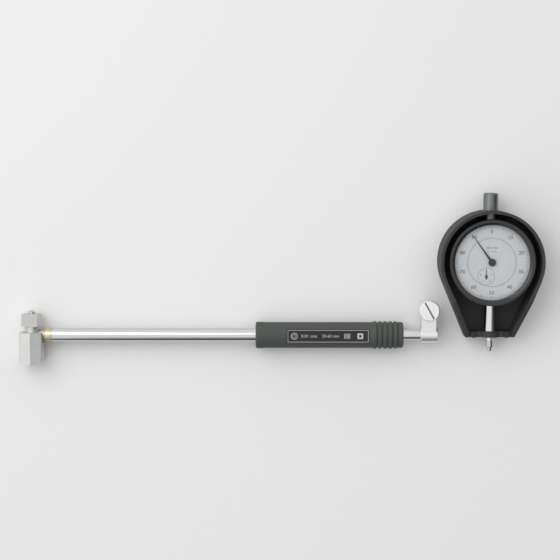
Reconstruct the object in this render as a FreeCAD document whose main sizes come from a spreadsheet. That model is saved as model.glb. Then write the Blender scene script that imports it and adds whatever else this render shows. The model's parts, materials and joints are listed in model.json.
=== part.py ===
"""Dial bore gauge for bores of 35 to 60 mm: measuring body, and its dial indicator in a guard.

The origin is the middle of the measuring head. X runs along the tube to the grip, Y along the
measuring line to the anvil, and Z up. The indicator lies beside the body, taken out of the clamp.
Lengths are in millimetres.
"""
import FreeCAD, Part
import math
import os
from types import SimpleNamespace

import Sketcher

V = FreeCAD.Vector

# Driving dimensions: name, value, meaning.
SIZES = [
    # clearances
    ("fit", 0.05, "radial clearance of a fixed fit"),
    ("running", 0.05, "radial clearance of a moving fit"),
    ("free", 0.3, "gap beside a piece that moves past"),
    # head
    ("head_half", 5.5, "half width of the head block along the tube"),
    ("head_half_depth", 5.2, "half depth of the head block"),
    ("head_foot", 12.0, "head block below the tube axis"),
    ("head_top", 1.9, "head block above the tube axis"),
    ("boss_radius", 4.4, "boss that carries the anvil nut"),
    ("boss_top", 9.0, "height of the boss over the tube axis"),
    ("shank_length", 18.5, "shank that plugs into the tube"),
    # contact, crank and push rod
    ("crank_arm", 3.6, "both arms of the bell crank"),
    ("crank_tip", 0.9, "radius of the rounded arm ends"),
    ("crank_hub", 1.2, "radius of the crank hub"),
    ("crank_web", 0.5, "half width of an arm"),
    ("crank_half", 1.0, "half thickness of the crank"),
    ("crank_pin_radius", 0.75, "pivot pin of the crank"),
    ("contact_travel", 1.2, "stroke of the contact"),
    ("plunger_radius", 2.3, "contact plunger"),
    ("plunger_nib", 0.55, "height of the nib that meets the crank"),
    ("plunger_foot", 18.6, "end of the plunger below the tube axis"),
    ("tip_radius", 1.8, "radius of the contact ball"),
    ("rod_radius", 1.2, "push rod"),
    # guide shoe
    ("shoe_half", 7.65, "half width of the shoe along the tube"),
    ("shoe_ridge", 9.1, "half depth of the shoe at its ridge"),
    ("shoe_edge", 6.5, "half depth of the shoe at its sides"),
    ("shoe_top", 1.95, "top of the shoe over the tube axis"),
    ("shoe_foot", 19.5, "foot of the shoe below the tube axis"),
    ("shoe_crown", 2.0, "rise of the foot towards its sides"),
    ("shoe_floor", 14.5, "floor of the pocket below the tube axis"),
    ("shoe_travel", 1.5, "stroke of the shoe"),
    ("shoe_corner", 1.2, "rounding of the upright edges"),
    ("guide_pin_radius", 0.8, "pin that keeps the shoe on the head"),
    ("guide_pin_drop", 8.0, "guide pin below the tube axis"),
    ("guide_coil", 1.0, "outer radius of a shoe spring"),
    ("guide_coil_depth", 3.0, "spring pocket in the head"),
    ("guide_coil_turns", 2, "turns of a shoe spring"),
    ("guide_coil_place", 3.8, "springs away from the plunger axis"),
    # anvil
    ("anvil_shank", 2.5, "radius of the anvil shank"),
    ("anvil_shank_length", 5.8, "length of the anvil shank"),
    ("anvil_flange", 4.0, "radius of the anvil flange"),
    ("anvil_flange_height", 1.4, "thickness of the anvil flange"),
    ("anvil_rod", 2.3, "radius of the anvil rod"),
    ("anvil_reach", 7.1, "anvil from its seat to its end"),
    ("washer_height", 0.5, "spacing washer under the anvil"),
    ("nut_across", 12.0, "anvil nut across flats"),
    ("nut_skirt", 3.4, "nut below the top of the boss"),
    ("nut_height", 8.8, "height of the anvil nut"),
    ("nut_chamfer", 1.0, "chamfer of the nut corners"),
    ("nut_angle", -10.0, "nut corner from the tube direction"),
    # tube
    ("collar_start", 8.9, "collar from the measuring line"),
    ("collar_length", 4.8, "width of the collar"),
    ("tube_radius", 4.7, "outside of the tube"),
    ("tube_bore", 3.5, "inside of the tube"),
    ("probe_depth", 150.0, "measuring line to grip"),
    ("tube_seat", 40.0, "tube inside the grip"),
    ("bush_place", 54.4, "middle of the tube bush"),
    ("bush_length", 7.0, "length of the tube bush"),
    ("bush_pin_radius", 0.8, "pin of the tube bush"),
    # grip
    ("grip_length", 98.3, "length of the grip"),
    ("grip_radius", 8.6, "outside of the grip"),
    ("core_radius", 6.2, "outside of the metal core"),
    ("core_inset", 0.5, "core short of the grip ends"),
    ("core_bore", 3.0, "middle bore of the core"),
    ("ridge_count", 5, "grip ridges"),
    ("ridge_pitch", 3.45, "spacing of the ridges"),
    ("ridge_height", 0.55, "ridges over the grip"),
    ("ridge_groove", 0.45, "grooves between the ridges"),
    ("ridge_margin", 5.0, "last ridge from the grip end"),
    ("grip_band", 5.0, "raised band at the tube end"),
    ("label_height", 7.0, "label seat over the tube axis"),
    ("label_start", 20.8, "label from the grip end"),
    ("label_length", 54.8, "length of the label"),
    ("label_width", 9.2, "width of the label"),
    ("label_thickness", 0.3, "thickness of the label"),
    # rod end and neck
    ("neck_radius", 3.5, "outside of the neck tube"),
    ("neck_bore", 2.5, "inside of the neck tube"),
    ("neck_seat", 26.3, "neck tube inside the grip"),
    ("neck_show", 11.7, "neck tube between grip and clamp"),
    ("neck_bush_length", 6.0, "length of the neck bush"),
    ("rod_drop", 11.0, "rod end short of the stem seat"),
    ("rod_tip_radius", 2.2, "rod tip"),
    ("rod_tip_length", 2.6, "length of the rod tip"),
    ("rod_collar_radius", 2.6, "spring collar on the rod"),
    ("rod_collar_length", 3.0, "length of the spring collar"),
    ("coil_wire", 0.5, "wire of the rod spring"),
    ("coil_turns", 4, "turns of the rod spring"),
    # stem clamp
    ("stem_radius", 4.0, "indicator stem"),
    ("clamp_wall", 1.3, "wall of the clamp ring"),
    ("clamp_seat", 2.0, "neck tube inside the clamp"),
    ("clamp_grip", 9.4, "stem length that the clamp holds"),
    ("ear_reach", 16.9, "clamp screw from the tube axis"),
    ("ear_radius", 4.8, "rounded end of the ears"),
    ("ear_half", 5.0, "half height of the ears"),
    ("clamp_slit", 1.0, "slit between the ears"),
    ("screw_radius", 2.0, "shank of the clamp screw"),
    ("screw_head", 6.8, "radius of the knurled head"),
    ("screw_head_height", 4.5, "height of the knurled head"),
    ("screw_slot", 1.0, "width of the screwdriver slot"),
    ("screw_slot_angle", -61.0, "slot direction"),
    ("knurl_count", 24, "grooves round the screw head"),
    ("knurl_depth", 0.35, "depth of those grooves"),
    # where the indicator lies
    ("dial_aside", 34.5, "dial centre past the clamp end"),
    ("dial_up", 49.4, "dial centre over the tube axis"),
    # guard
    ("guard_radius", 34.2, "outside of the guard ring"),
    ("guard_wall", 2.0, "wall of the guard"),
    ("guard_base", 2.4, "floor of the guard"),
    ("guard_height", 27.0, "height of the guard ring"),
    ("guard_foot", 50.4, "guard foot below the dial centre"),
    ("guard_foot_half", 16.3, "half width of the guard foot"),
    ("guard_foot_height", 14.0, "wall height at the foot"),
    ("guard_slope_start", 26.0, "start of the sloping walls"),
    ("strap_width", 3.9, "width of the strap along the stem"),
    ("strap_half", 14.2, "half length of the strap"),
    ("strap_thickness", 2.7, "thickness of the strap wings"),
    ("strap_arch", 2.5, "metal over the stem"),
    ("strap_screw_place", 11.0, "strap screws beside the stem"),
    ("strap_screw_head", 2.3, "radius of a strap screw head"),
    ("small_screw", 1.0, "shank radius of a strap screw"),
    ("strap_screw_length", 8.0, "length of a strap screw shank"),
    # indicator case
    ("spindle_height", 10.8, "stem axis over the guard's underside"),
    ("cover_thickness", 2.0, "thickness of the back cover"),
    ("case_radius", 27.0, "outside of the case"),
    ("case_bore", 23.0, "inside of the case"),
    ("cover_inset", 0.5, "back cover short of the case outside"),
    ("case_front", 19.4, "top of the case front"),
    ("case_front_wall", 1.8, "thickness of the case front"),
    ("case_neck", 25.9, "neck of the case under the bezel"),
    ("bezel_start", 16.4, "underside of the bezel"),
    # spindle
    ("spindle_radius", 2.0, "spindle"),
    ("spindle_top", 38.5, "spindle end over the dial centre"),
    ("spindle_foot", 53.0, "spindle end below the dial centre"),
    ("rack_radius", 2.35, "thick part of the spindle with the rack"),
    ("rack_pitch", 0.625, "spacing of the rack teeth"),
    ("stem_foot", 48.5, "stem end below the dial centre"),
    ("stem_head", 24.0, "stem start below the dial centre"),
    ("cap_radius", 4.9, "dust cap"),
    ("cap_end", 45.5, "top of the dust cap"),
    ("cap_neck", 3.5, "neck that plugs into the case"),
    ("point_radius", 2.5, "contact point body"),
    ("point_length", 4.5, "contact point body"),
    ("point_reach", 7.4, "contact point with its ball"),
    # gear train
    ("rack_teeth_met", 16, "teeth of the rack pinion"),
    ("gear_teeth", 100, "teeth of the counter gear"),
    ("pinion_teeth", 10, "teeth of the centre pinion"),
    ("takeup_teeth", 50, "teeth of the take-up gear"),
    ("tooth_gap", 0.12, "play between teeth"),
    ("tooth_height", 0.75, "tip height as a share of the tooth module"),
    ("tooth_root", 1.2, "root depth as a share of the tooth module"),
    ("counter_drop", 9.3, "counter axis below the dial centre"),
    ("gear_thickness", 0.5, "thickness of the large gears"),
    ("arbor_radius", 0.45, "gear arbors"),
    ("plate_gap", 0.15, "spindle to movement plate"),
    ("plate_thickness", 0.7, "movement plate"),
    ("plate_radius", 21.5, "corners of the six-sided movement plate"),
    ("post_place", 18.0, "posts from the centre"),
    ("post_radius", 1.2, "posts of the movement plate"),
    ("hair_start", 1.2, "inner radius of the hairspring"),
    ("hair_pitch", 0.6, "spacing of the hairspring turns"),
    ("hair_turns", 3, "turns of the hairspring"),
    ("hair_thickness", 0.12, "strip of the hairspring"),
    ("hair_height", 0.6, "height of the hairspring"),
    ("return_coil", 1.3, "outer radius of the return spring"),
    ("return_wire", 0.35, "wire of the return spring"),
    ("return_turns", 4, "turns of the return spring"),
    ("return_place", 4.6, "return spring beside the spindle"),
    ("spindle_pin_radius", 0.8, "pin through the spindle"),
    ("spindle_pin_rise", 8.0, "that pin over the dial centre"),
    # dial, hands, bezel
    ("disc_radius", 16.1, "fixed disc of the dial"),
    ("disc_thickness", 0.4, "dial disc and scale ring"),
    ("scale_radius", 25.0, "outside of the scale ring"),
    ("bezel_radius", 28.5, "outside of the bezel"),
    ("bezel_top", 26.0, "top of the bezel"),
    ("bezel_lip", 24.8, "opening of the bezel"),
    ("bezel_slope", 27.0, "outer edge of the bezel's inner slope"),
    ("crystal_radius", 25.6, "crystal"),
    ("crystal_start", 23.2, "underside of the crystal"),
    ("crystal_thickness", 1.6, "thickness of the crystal"),
    ("hand_length", 23.4, "main hand from its axis"),
    ("hand_half", 0.75, "half width of the main hand"),
    ("hand_hub", 2.5, "hub of the main hand"),
    ("hand_level", 21.3, "height of the main hand"),
    ("hand_thickness", 0.35, "thickness of the hands"),
    ("hand_angle", 35.7, "main hand turned left at rest"),
    ("counter_length", 4.4, "counter hand from its axis"),
    ("counter_tail", 2.0, "tail of the counter hand"),
]


# ---------------------------------------------------------------- sizes that carry their expression

class Size:
    """A number from the sheet, or a sum of such numbers, with the expression that binds it."""

    def __init__(self, value, text):
        self.value = float(value)
        self.text = text

    def __float__(self):
        return self.value

    def __neg__(self):
        return Size(-self.value, f"(-1 * {self.text})")

    def __add__(self, other):
        other = size_of(other)
        return Size(self.value + other.value, f"({self.text} + {other.text})")

    def __sub__(self, other):
        other = size_of(other)
        return Size(self.value - other.value, f"({self.text} - {other.text})")

    def __mul__(self, other):
        other = size_of(other)
        return Size(self.value * other.value, f"({self.text} * {other.text})")

    def __truediv__(self, other):
        other = size_of(other)
        return Size(self.value / other.value, f"({self.text} / {other.text})")

    def __radd__(self, other):
        return size_of(other) + self

    def __rsub__(self, other):
        return size_of(other) - self

    def __rmul__(self, other):
        return size_of(other) * self

    def __rtruediv__(self, other):
        return size_of(other) / self


def size_of(number):
    """A plain number as a Size."""
    if isinstance(number, Size):
        return number
    return Size(number, repr(float(number)))


def root(size):
    return Size(math.sqrt(size.value), f"sqrt({size.text})")


def sine(angle):
    return Size(math.sin(math.radians(float(angle))), f"sin({size_of(angle).text})")


def cosine(angle):
    return Size(math.cos(math.radians(float(angle))), f"cos({size_of(angle).text})")


def make_sheet(doc):
    """Writes the driving dimensions to the sheet and hands them back by name."""
    sheet = doc.addObject("Spreadsheet::Sheet", "Sizes")
    for row, (name, value, meaning) in enumerate(SIZES, start=1):
        sheet.set(f"A{row}", meaning)
        sheet.set(f"B{row}", str(value))
        sheet.setAlias(f"B{row}", name)
    doc.recompute()
    sizes = {name: Size(getattr(sheet, name), f"Sizes.{name}") for name, value, meaning in SIZES}
    return SimpleNamespace(**sizes)


doc = FreeCAD.newDocument("DialBoreGauge")
s = make_sheet(doc)


# ---------------------------------------------------------------- outlines, drawn into a sketch

def pin_down(sketch, kind, edge, point, size):
    """Dimensions a point of the sketch from its origin."""
    number = sketch.addConstraint(Sketcher.Constraint(kind, -1, 1, edge, point, float(size)))
    sketch.setExpression(f"Constraints[{number}]", size_of(size).text)


def disc(x, y, radius):
    """A round outline."""
    def draw(sketch):
        circle = Part.Circle(V(float(x), float(y), 0), V(0, 0, 1), float(radius))
        edge = sketch.addGeometry(circle, False)
        pin_down(sketch, "DistanceX", edge, 3, x)
        pin_down(sketch, "DistanceY", edge, 3, y)
        number = sketch.addConstraint(Sketcher.Constraint("Radius", edge, float(radius)))
        sketch.setExpression(f"Constraints[{number}]", size_of(radius).text)
    return draw


def path(*corners, arcs=None):
    """A closed outline through its corners. Side n is an arc where arcs[n] is ((x, y), radius)."""
    arcs = arcs or {}

    def draw(sketch):
        spots = [V(float(x), float(y), 0) for x, y in corners]
        starts, ends = [], []
        for n, spot in enumerate(spots):
            after = spots[(n + 1) % len(spots)]
            if n in arcs:
                through = V(float(arcs[n][0][0]), float(arcs[n][0][1]), 0)
                edge = sketch.addGeometry(Part.Arc(spot, through, after), False)
                number = sketch.addConstraint(Sketcher.Constraint("Radius", edge, float(arcs[n][1])))
                sketch.setExpression(f"Constraints[{number}]", size_of(arcs[n][1]).text)
            else:
                edge = sketch.addGeometry(Part.LineSegment(spot, after), False)
            forward = sketch.getPoint(edge, 1).distanceToPoint(spot) < 1e-4
            starts.append((edge, 1 if forward else 2))
            ends.append((edge, 2 if forward else 1))
        for n, (x, y) in enumerate(corners):
            sketch.addConstraint(Sketcher.Constraint("Coincident", *ends[n - 1], *starts[n]))
            pin_down(sketch, "DistanceX", *starts[n], x)
            pin_down(sketch, "DistanceY", *starts[n], y)
    return draw


def box(x0, y0, x1, y1):
    """A rectangular outline."""
    return path((x0, y0), (x1, y0), (x1, y1), (x0, y1))


# ---------------------------------------------------------------- bodies and features

def new_body(name, x=0, y=0, z=0):
    """A body with its label, placed from the sheet."""
    body = doc.addObject("PartDesign::Body", name)
    body.Label = name
    place(body, x, y, z)
    return body


def place(thing, x=0, y=0, z=0):
    """Binds where a piece stands."""
    for axis, size in (("x", x), ("y", y), ("z", z)):
        if isinstance(size, Size):
            thing.setExpression(f"Placement.Base.{axis}", size.text)


def turn(thing, angle):
    """Turns a piece about its own Z axis."""
    thing.Placement.Rotation = FreeCAD.Rotation(V(0, 0, 1), float(angle))
    thing.setExpression("Placement.Rotation.Angle", size_of(angle).text)


def draw_on(body, role, lift, outlines):
    """A sketch on one of the body's own planes, raised by lift along +Z, +Y or +X."""
    sketch = body.newObject("Sketcher::SketchObject", f"{body.Name}_sketch")
    plane = next(face for face in body.Origin.OriginFeatures if face.Role == role)
    sketch.AttachmentSupport = [(plane, "")]
    sketch.MapMode = "FlatFace"
    if role == "XZ_Plane":
        lift = -size_of(lift)
    sketch.setExpression("AttachmentOffset.Base.z", size_of(lift).text)
    for outline in outlines:
        outline(sketch)
    return sketch


def prism(kind, body, role, start, end, outlines):
    """Adds or cuts the outlines between two heights over a plane."""
    sketch = draw_on(body, role, (size_of(start) + end) / 2, outlines)
    feature = body.newObject(f"PartDesign::{kind}", f"{body.Name}_{kind.lower()}")
    feature.Profile = sketch
    feature.SideType = "Symmetric"
    feature.Type = "Length"
    feature.setExpression("Length", (size_of(end) - start).text)
    return feature


def pad(body, role, start, end, *outlines):
    return prism("Pad", body, role, start, end, outlines)


def pocket(body, role, start, end, *outlines):
    return prism("Pocket", body, role, start, end, outlines)


def turned(kind, body, axis, outline, role="XY_Plane"):
    """Turns an outline round the horizontal (H) or vertical (V) axis of its sketch."""
    sketch = draw_on(body, role, 0, [outline])
    feature = body.newObject(f"PartDesign::{kind}", f"{body.Name}_{kind.lower()}")
    feature.Profile = sketch
    feature.ReferenceAxis = (sketch, [f"{axis}_Axis"])
    feature.Angle = 360
    return feature


def revolve(body, axis, outline, role="XY_Plane"):
    return turned("Revolution", body, axis, outline, role)


def groove(body, axis, outline, role="XY_Plane"):
    return turned("Groove", body, axis, outline, role)


def around(body, feature, count, axis="N_Axis"):
    """Repeats a feature round the axis of its sketch."""
    pattern = body.newObject("PartDesign::PolarPattern", f"{body.Name}_pattern")
    pattern.Originals = [feature]
    pattern.Axis = (feature.Profile[0], [axis])
    pattern.Angle = 360
    pattern.setExpression("Occurrences", size_of(count).text)
    body.Tip = pattern
    return pattern


def soften(kind, body, size, wanted):
    """Rounds (Fillet) or bevels (Chamfer) the edges whose bounding box is wanted."""
    doc.recompute()
    base = body.Tip
    names = [f"Edge{n}" for n, edge in enumerate(base.Shape.Edges, start=1) if wanted(edge.BoundBox)]
    if not names:
        raise RuntimeError(f"{body.Label}: no edge to soften")
    feature = body.newObject(f"PartDesign::{kind}", f"{body.Name}_{kind.lower()}")
    feature.Base = (base, names)
    feature.setExpression("Radius" if kind == "Fillet" else "Size", size_of(size).text)
    return feature


def near(a, b):
    return abs(a - float(b)) < 0.01


def tube(name, start, end, outer, inner, axis="H", x=0, y=0, z=0):
    """A plain tube along X (H) or Y (V), as a body."""
    body = new_body(name, x, y, z)
    if axis == "H":
        revolve(body, axis, box(start, inner, end, outer))
    else:
        revolve(body, axis, box(inner, start, outer, end))
    return body


def bar(name, start, end, radius, axis="H", x=0, y=0, z=0):
    """A plain round bar along X (H) or Y (V), as a body."""
    return tube(name, start, end, radius, 0, axis, x, y, z)


# ---------------------------------------------------------------- places that several pieces share

slot_half = s.crank_half + 3 * s.running
crank_reach = s.crank_tip + s.free
plunger_head = s.crank_arm + s.crank_tip + s.running
rod_start = s.crank_arm + s.crank_tip + s.running
anvil_seat = s.boss_top + s.washer_height
tube_start = s.collar_start + s.collar_length
tube_end = s.probe_depth + s.tube_seat
grip_end = s.probe_depth + s.grip_length
neck_start = grip_end - s.neck_seat
clamp_start = grip_end + s.neck_show
neck_end = clamp_start + s.clamp_seat
clamp_end = neck_end + s.clamp_grip
rod_end = neck_end - s.rod_drop
rod_collar_start = tube_end + s.clamp_seat
floor = -s.shoe_ridge
dial_x = clamp_end + s.dial_aside
dial_y = s.dial_up
spindle_z = floor + s.spindle_height
cover_start = s.guard_base
case_start = cover_start + s.cover_thickness
foot_top = s.guard_foot - s.strap_width
plate_low = s.spindle_height + s.rack_radius + s.plate_gap
plate_high = plate_low + s.plate_thickness
front_low = s.case_front - s.case_front_wall
cap_start = s.case_radius + s.free

# the spindle can rise until its contact point meets the stem
spindle_travel = s.spindle_foot - s.stem_foot - s.free

# rack and gears: modules from the rack pitch and from where the counter axis lies
rack_module = s.rack_pitch / size_of(math.pi)
rack_line = s.spindle_radius
counter_x = rack_line + rack_module * s.rack_teeth_met / 2
counter_aim = Size(math.degrees(math.atan2(float(s.counter_drop), float(counter_x))),
                   f"(atan2({s.counter_drop.text}; {counter_x.text}) / 1 deg)")
counter_reach = root(counter_x * counter_x + s.counter_drop * s.counter_drop)
gear_module = 2 * counter_reach / (s.gear_teeth + s.pinion_teeth)
gear_low = plate_high + s.free
gear_high = gear_low + s.gear_thickness
takeup_low = gear_high + s.gear_thickness
takeup_high = takeup_low + s.gear_thickness
takeup_swing = 4 * 360 / s.pinion_teeth
takeup_reach = gear_module * (s.takeup_teeth + s.pinion_teeth) / 2
takeup_share = -takeup_reach / counter_reach
takeup_x = takeup_share * (counter_x * cosine(takeup_swing) - s.counter_drop * sine(takeup_swing))
takeup_y = takeup_share * (counter_x * sine(takeup_swing) + s.counter_drop * cosine(takeup_swing))
hair_low = takeup_high + s.free
hair_end = s.hair_start + s.hair_turns * s.hair_pitch + s.hair_thickness / 2 + s.arbor_radius + s.fit
bridge_low = s.spindle_height - s.spindle_radius * 0.75 - s.free - s.plate_thickness
rack_teeth_below = math.ceil(float(spindle_travel / s.rack_pitch)) + 2
rack_teeth_count = rack_teeth_below + 4
rack_low = -s.counter_drop - (rack_teeth_below + 1) * s.rack_pitch
rack_high = 3 * s.rack_pitch - s.counter_drop
return_drop = s.stem_head - s.rack_radius * 3
rail_near = s.return_place + s.return_coil + s.free
counter_level = s.case_front + s.disc_thickness + s.free
hand_top = s.hand_level + 3 * s.hand_thickness


# ---------------------------------------------------------------- measuring head

def head_body():
    """Block with the crank chamber, boss for the anvil above and shank for the tube."""
    body = new_body("head_body")
    shank_end = s.head_half + s.shank_length
    slip = s.plunger_radius + s.running
    pad(body, "XY_Plane", -s.head_half_depth, s.head_half_depth,
        box(-s.head_half, -s.head_foot, s.head_half, s.head_top))
    revolve(body, "V", box(0, 0, s.boss_radius, s.boss_top))
    revolve(body, "H", box(0, 0, shank_end, s.tube_bore - s.fit))
    soften("Chamfer", body, s.free, lambda b: near(b.YMin, s.boss_top) or near(b.XMin, shank_end))
    groove(body, "V", box(0, s.boss_top - s.anvil_shank_length, s.anvil_shank + s.fit, s.boss_top + 1))
    groove(body, "V", box(0, -s.head_foot - 1, slip, s.contact_travel + s.running - plunger_head))
    groove(body, "H", box(s.crank_arm + s.crank_web, 0, shank_end + 1, s.rod_radius + s.running))
    pocket(body, "XY_Plane", -slot_half, slot_half, path(
        (-s.crank_tip - s.free, -s.crank_arm - s.crank_hub - s.free),
        (s.crank_arm + s.crank_hub + 0.1, -s.crank_arm - s.crank_hub - s.free),
        (s.crank_arm + s.crank_hub + 0.1, -s.crank_arm + s.crank_hub),
        (s.crank_arm + crank_reach + s.contact_travel, -s.crank_arm + s.crank_hub),
        (s.crank_arm + crank_reach + s.contact_travel, crank_reach),
        (s.crank_arm - crank_reach, crank_reach),
        (s.crank_arm - crank_reach, -s.crank_hub),
        (-s.crank_tip - s.free, -s.crank_hub)))
    pocket(body, "XY_Plane", -s.head_half_depth - 1, s.head_half_depth + 1,
           disc(s.crank_arm, -s.crank_arm, s.crank_pin_radius + s.fit))
    pocket(body, "YZ_Plane", -s.head_half - 1, -s.plunger_radius,
           disc(-s.guide_pin_drop, 0, s.guide_pin_radius + s.fit))
    holes = [disc(0, side * s.guide_coil_place, s.guide_coil + 3 * s.running) for side in (1, -1)]
    pocket(body, "XZ_Plane", -s.head_foot - 1, s.guide_coil_depth - s.head_foot, *holes)


def contact_plunger():
    """Pin that carries the contact and lifts the crank with its narrow nib."""
    body = new_body("contact_plunger")
    top = -plunger_head
    revolve(body, "V", path(
        (0, -s.plunger_foot), (s.plunger_radius, -s.plunger_foot),
        (s.plunger_radius, top - s.plunger_nib), (s.crank_tip, top - s.plunger_nib),
        (s.crank_tip, top), (0, top)))


def contact_tip():
    """Hard ball end of the contact."""
    body = new_body("contact_tip", y=-s.plunger_foot)
    ball = s.tip_radius
    revolve(body, "V", path((0, 0), (0, -ball), (ball * sine(20), -ball * cosine(10)),
                            (ball * sine(55), -ball * cosine(50)), (ball, 0)))


def bell_crank():
    """Two equal arms at a right angle, which turn the contact's stroke into the rod's."""
    body = new_body("bell_crank", s.crank_arm, -s.crank_arm)
    half = s.crank_half
    pad(body, "XY_Plane", -half, half, disc(0, 0, s.crank_hub))
    pad(body, "XY_Plane", -half, half, path(
        (s.crank_web, s.crank_arm), (-s.crank_web, s.crank_arm), (-s.crank_web, s.crank_web),
        (-s.crank_arm, s.crank_web), (-s.crank_arm, -s.crank_web), (s.crank_web, -s.crank_web)))
    pad(body, "XY_Plane", -half, half, disc(0, s.crank_arm, s.crank_tip))
    pad(body, "XY_Plane", -half, half, disc(-s.crank_arm, 0, s.crank_tip))
    pocket(body, "XY_Plane", -half - 1, half + 1, disc(0, 0, s.crank_pin_radius + s.running))


def crank_pin():
    """Pivot pin of the crank, pressed across the head."""
    body = new_body("crank_pin", s.crank_arm, -s.crank_arm)
    pad(body, "XY_Plane", -s.head_half_depth, s.head_half_depth, disc(0, 0, s.crank_pin_radius))


def guide_shoe():
    """Sprung foot round the head, with a ridge front and back that finds the bore's middle."""
    body = new_body("guide_shoe")
    side = s.shoe_half
    rise = s.shoe_crown
    # radius of the crown, from its rise over half the width
    crown = (side * side + rise * rise) / (2 * rise)
    pad(body, "XY_Plane", -s.shoe_ridge, s.shoe_ridge, path(
        (side, s.shoe_top), (-side, s.shoe_top), (-side, rise - s.shoe_foot), (side, rise - s.shoe_foot),
        arcs={2: ((0, -s.shoe_foot), crown)}))
    wedges = []
    for front in (1, -1):
        for right in (1, -1):
            wedges.append(path(
                (0, front * s.shoe_ridge), (right * (side + 1), front * (s.shoe_ridge + 1)),
                (right * (side + 1), front * (s.shoe_edge - (s.shoe_ridge - s.shoe_edge) / side))))
    for wedge in wedges:
        pocket(body, "XZ_Plane", -s.shoe_foot - 1, s.shoe_top + 1, wedge)
    soften("Fillet", body, s.shoe_corner,
           lambda b: b.YLength > float(side) and b.XLength < 0.01 and near(abs(b.XMin), side))
    room = s.running
    pocket(body, "XZ_Plane", -s.shoe_floor, s.shoe_top + 1, box(
        -s.head_half - room, -s.head_half_depth - room, s.head_half + room, s.head_half_depth + room))
    groove(body, "V", box(0, -s.shoe_foot - 1, s.plunger_radius + 4 * room, -s.shoe_floor + 1))
    notch = s.tube_bore + s.free
    pocket(body, "YZ_Plane", s.head_half, side + 1,
           box(-notch - s.shoe_travel, -notch, s.shoe_top + 1, notch))
    slot = s.guide_pin_radius + room
    pocket(body, "YZ_Plane", -side - 1, -s.head_half,
           box(-s.guide_pin_drop - s.shoe_travel - slot, -slot, slot - s.guide_pin_drop, slot))


def guide_pin():
    """Pin in the head that keeps the shoe from coming off and from turning."""
    body = new_body("guide_pin")
    pad(body, "YZ_Plane", s.free - s.shoe_half, -s.plunger_radius - s.free,
        disc(-s.guide_pin_drop, 0, s.guide_pin_radius))


def coil(name, turns, length, outer, wire, axis, x=0, y=0, z=0):
    """A spring of square wire, along Y (V axis of its sketch) or X (H axis)."""
    body = new_body(name, x, y, z)
    if axis == "V":
        section = box(outer - wire, 0, outer, wire)
    else:
        section = box(0, outer - wire, wire, outer)
    sketch = draw_on(body, "XY_Plane", 0, [section])
    helix = body.newObject("PartDesign::AdditiveHelix", f"{name}_helix")
    helix.Profile = sketch
    helix.ReferenceAxis = (sketch, [f"{axis}_Axis"])
    helix.Mode = "pitch-height-angle"
    helix.setExpression("Pitch", ((length - wire) / turns).text)
    helix.setExpression("Height", (length - wire).text)
    return body


def guide_springs():
    """Two springs between head and shoe."""
    length = s.guide_coil_depth + s.shoe_floor - s.head_foot
    for number, side in ((1, 1), (2, -1)):
        coil(f"guide_spring_{number}", s.guide_coil_turns, length, s.guide_coil, s.free, "V",
             y=-s.shoe_floor, z=side * s.guide_coil_place)


def anvil():
    """Fixed measuring face with its flange and the shank that sits in the boss."""
    body = new_body("anvil", y=anvil_seat)
    top = s.anvil_reach
    revolve(body, "V", path(
        (0, 2 * s.free - s.anvil_shank_length), (s.anvil_shank, 2 * s.free - s.anvil_shank_length),
        (s.anvil_shank, 0), (s.anvil_flange, 0), (s.anvil_flange, s.anvil_flange_height),
        (s.anvil_rod, s.anvil_flange_height), (s.anvil_rod, top - s.anvil_rod * 0.5),
        (s.anvil_rod * 0.75, top - s.anvil_rod * 0.15), (s.anvil_rod * 0.35, top), (0, top)))


def anvil_washer():
    """Spacing washer that sets the measuring range with the anvil."""
    tube("anvil_washer", size_of(0), s.washer_height, s.anvil_flange, s.anvil_shank + s.fit, "V",
         y=s.boss_top)


def anvil_nut():
    """Hexagon cap nut that clamps the anvil by its flange."""
    low = s.boss_top - s.nut_skirt
    body = new_body("anvil_nut", y=low)
    flat = s.nut_across / 2
    corner = flat / cosine(30)
    corners = [s.nut_angle + 60 * n for n in range(6)]
    pad(body, "XZ_Plane", 0, s.nut_height, path(*[(corner * cosine(a), corner * sine(a)) for a in corners]))
    inner = corner - s.nut_chamfer
    outer = corner + 1
    for level, slope in ((s.nut_height, -0.5), (size_of(0), 0.5)):
        groove(body, "V", path((inner, level), (outer, level), (outer, level + (outer - inner) * slope)))
    seat = s.nut_skirt + s.washer_height + s.anvil_flange_height
    groove(body, "V", box(0, -1, s.boss_radius + s.fit, seat))
    groove(body, "V", box(0, seat - 1, s.anvil_rod + s.free, s.nut_height + 1))


# ---------------------------------------------------------------- tube and rod

def head_collar():
    """Ring between the head and the tube."""
    body = tube("head_collar", s.collar_start, tube_start, s.tube_radius + s.fit, s.tube_bore)
    soften("Chamfer", body, s.free, lambda b: b.XLength < 0.01 and b.YLength > 2 * float(s.tube_radius))


def stem_tube():
    """Long tube that reaches into the bore, with a cross hole for the bush pin."""
    body = tube("stem_tube", tube_start, tube_end, s.tube_radius, s.tube_bore)
    pocket(body, "XY_Plane", 0, s.tube_radius + 1, disc(s.bush_place, 0, s.bush_pin_radius + s.fit))


def tube_bush():
    """Bush that guides the push rod in the tube."""
    body = new_body("tube_bush", x=s.bush_place)
    half = s.bush_length / 2
    revolve(body, "H", box(-half, s.rod_radius + s.running, half, s.tube_bore - s.fit))
    pocket(body, "XY_Plane", s.rod_radius + s.free, s.tube_bore + 1,
           disc(0, 0, s.bush_pin_radius + s.fit))


def bush_pin():
    """Pin that holds the bush, flush with the tube."""
    body = new_body("bush_pin", x=s.bush_place)
    pad(body, "XY_Plane", s.rod_radius + 2 * s.free, s.tube_radius, disc(0, 0, s.bush_pin_radius))


def push_rod():
    """Rod from the crank to the indicator."""
    bar("push_rod", rod_start, rod_end, s.rod_radius)


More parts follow.
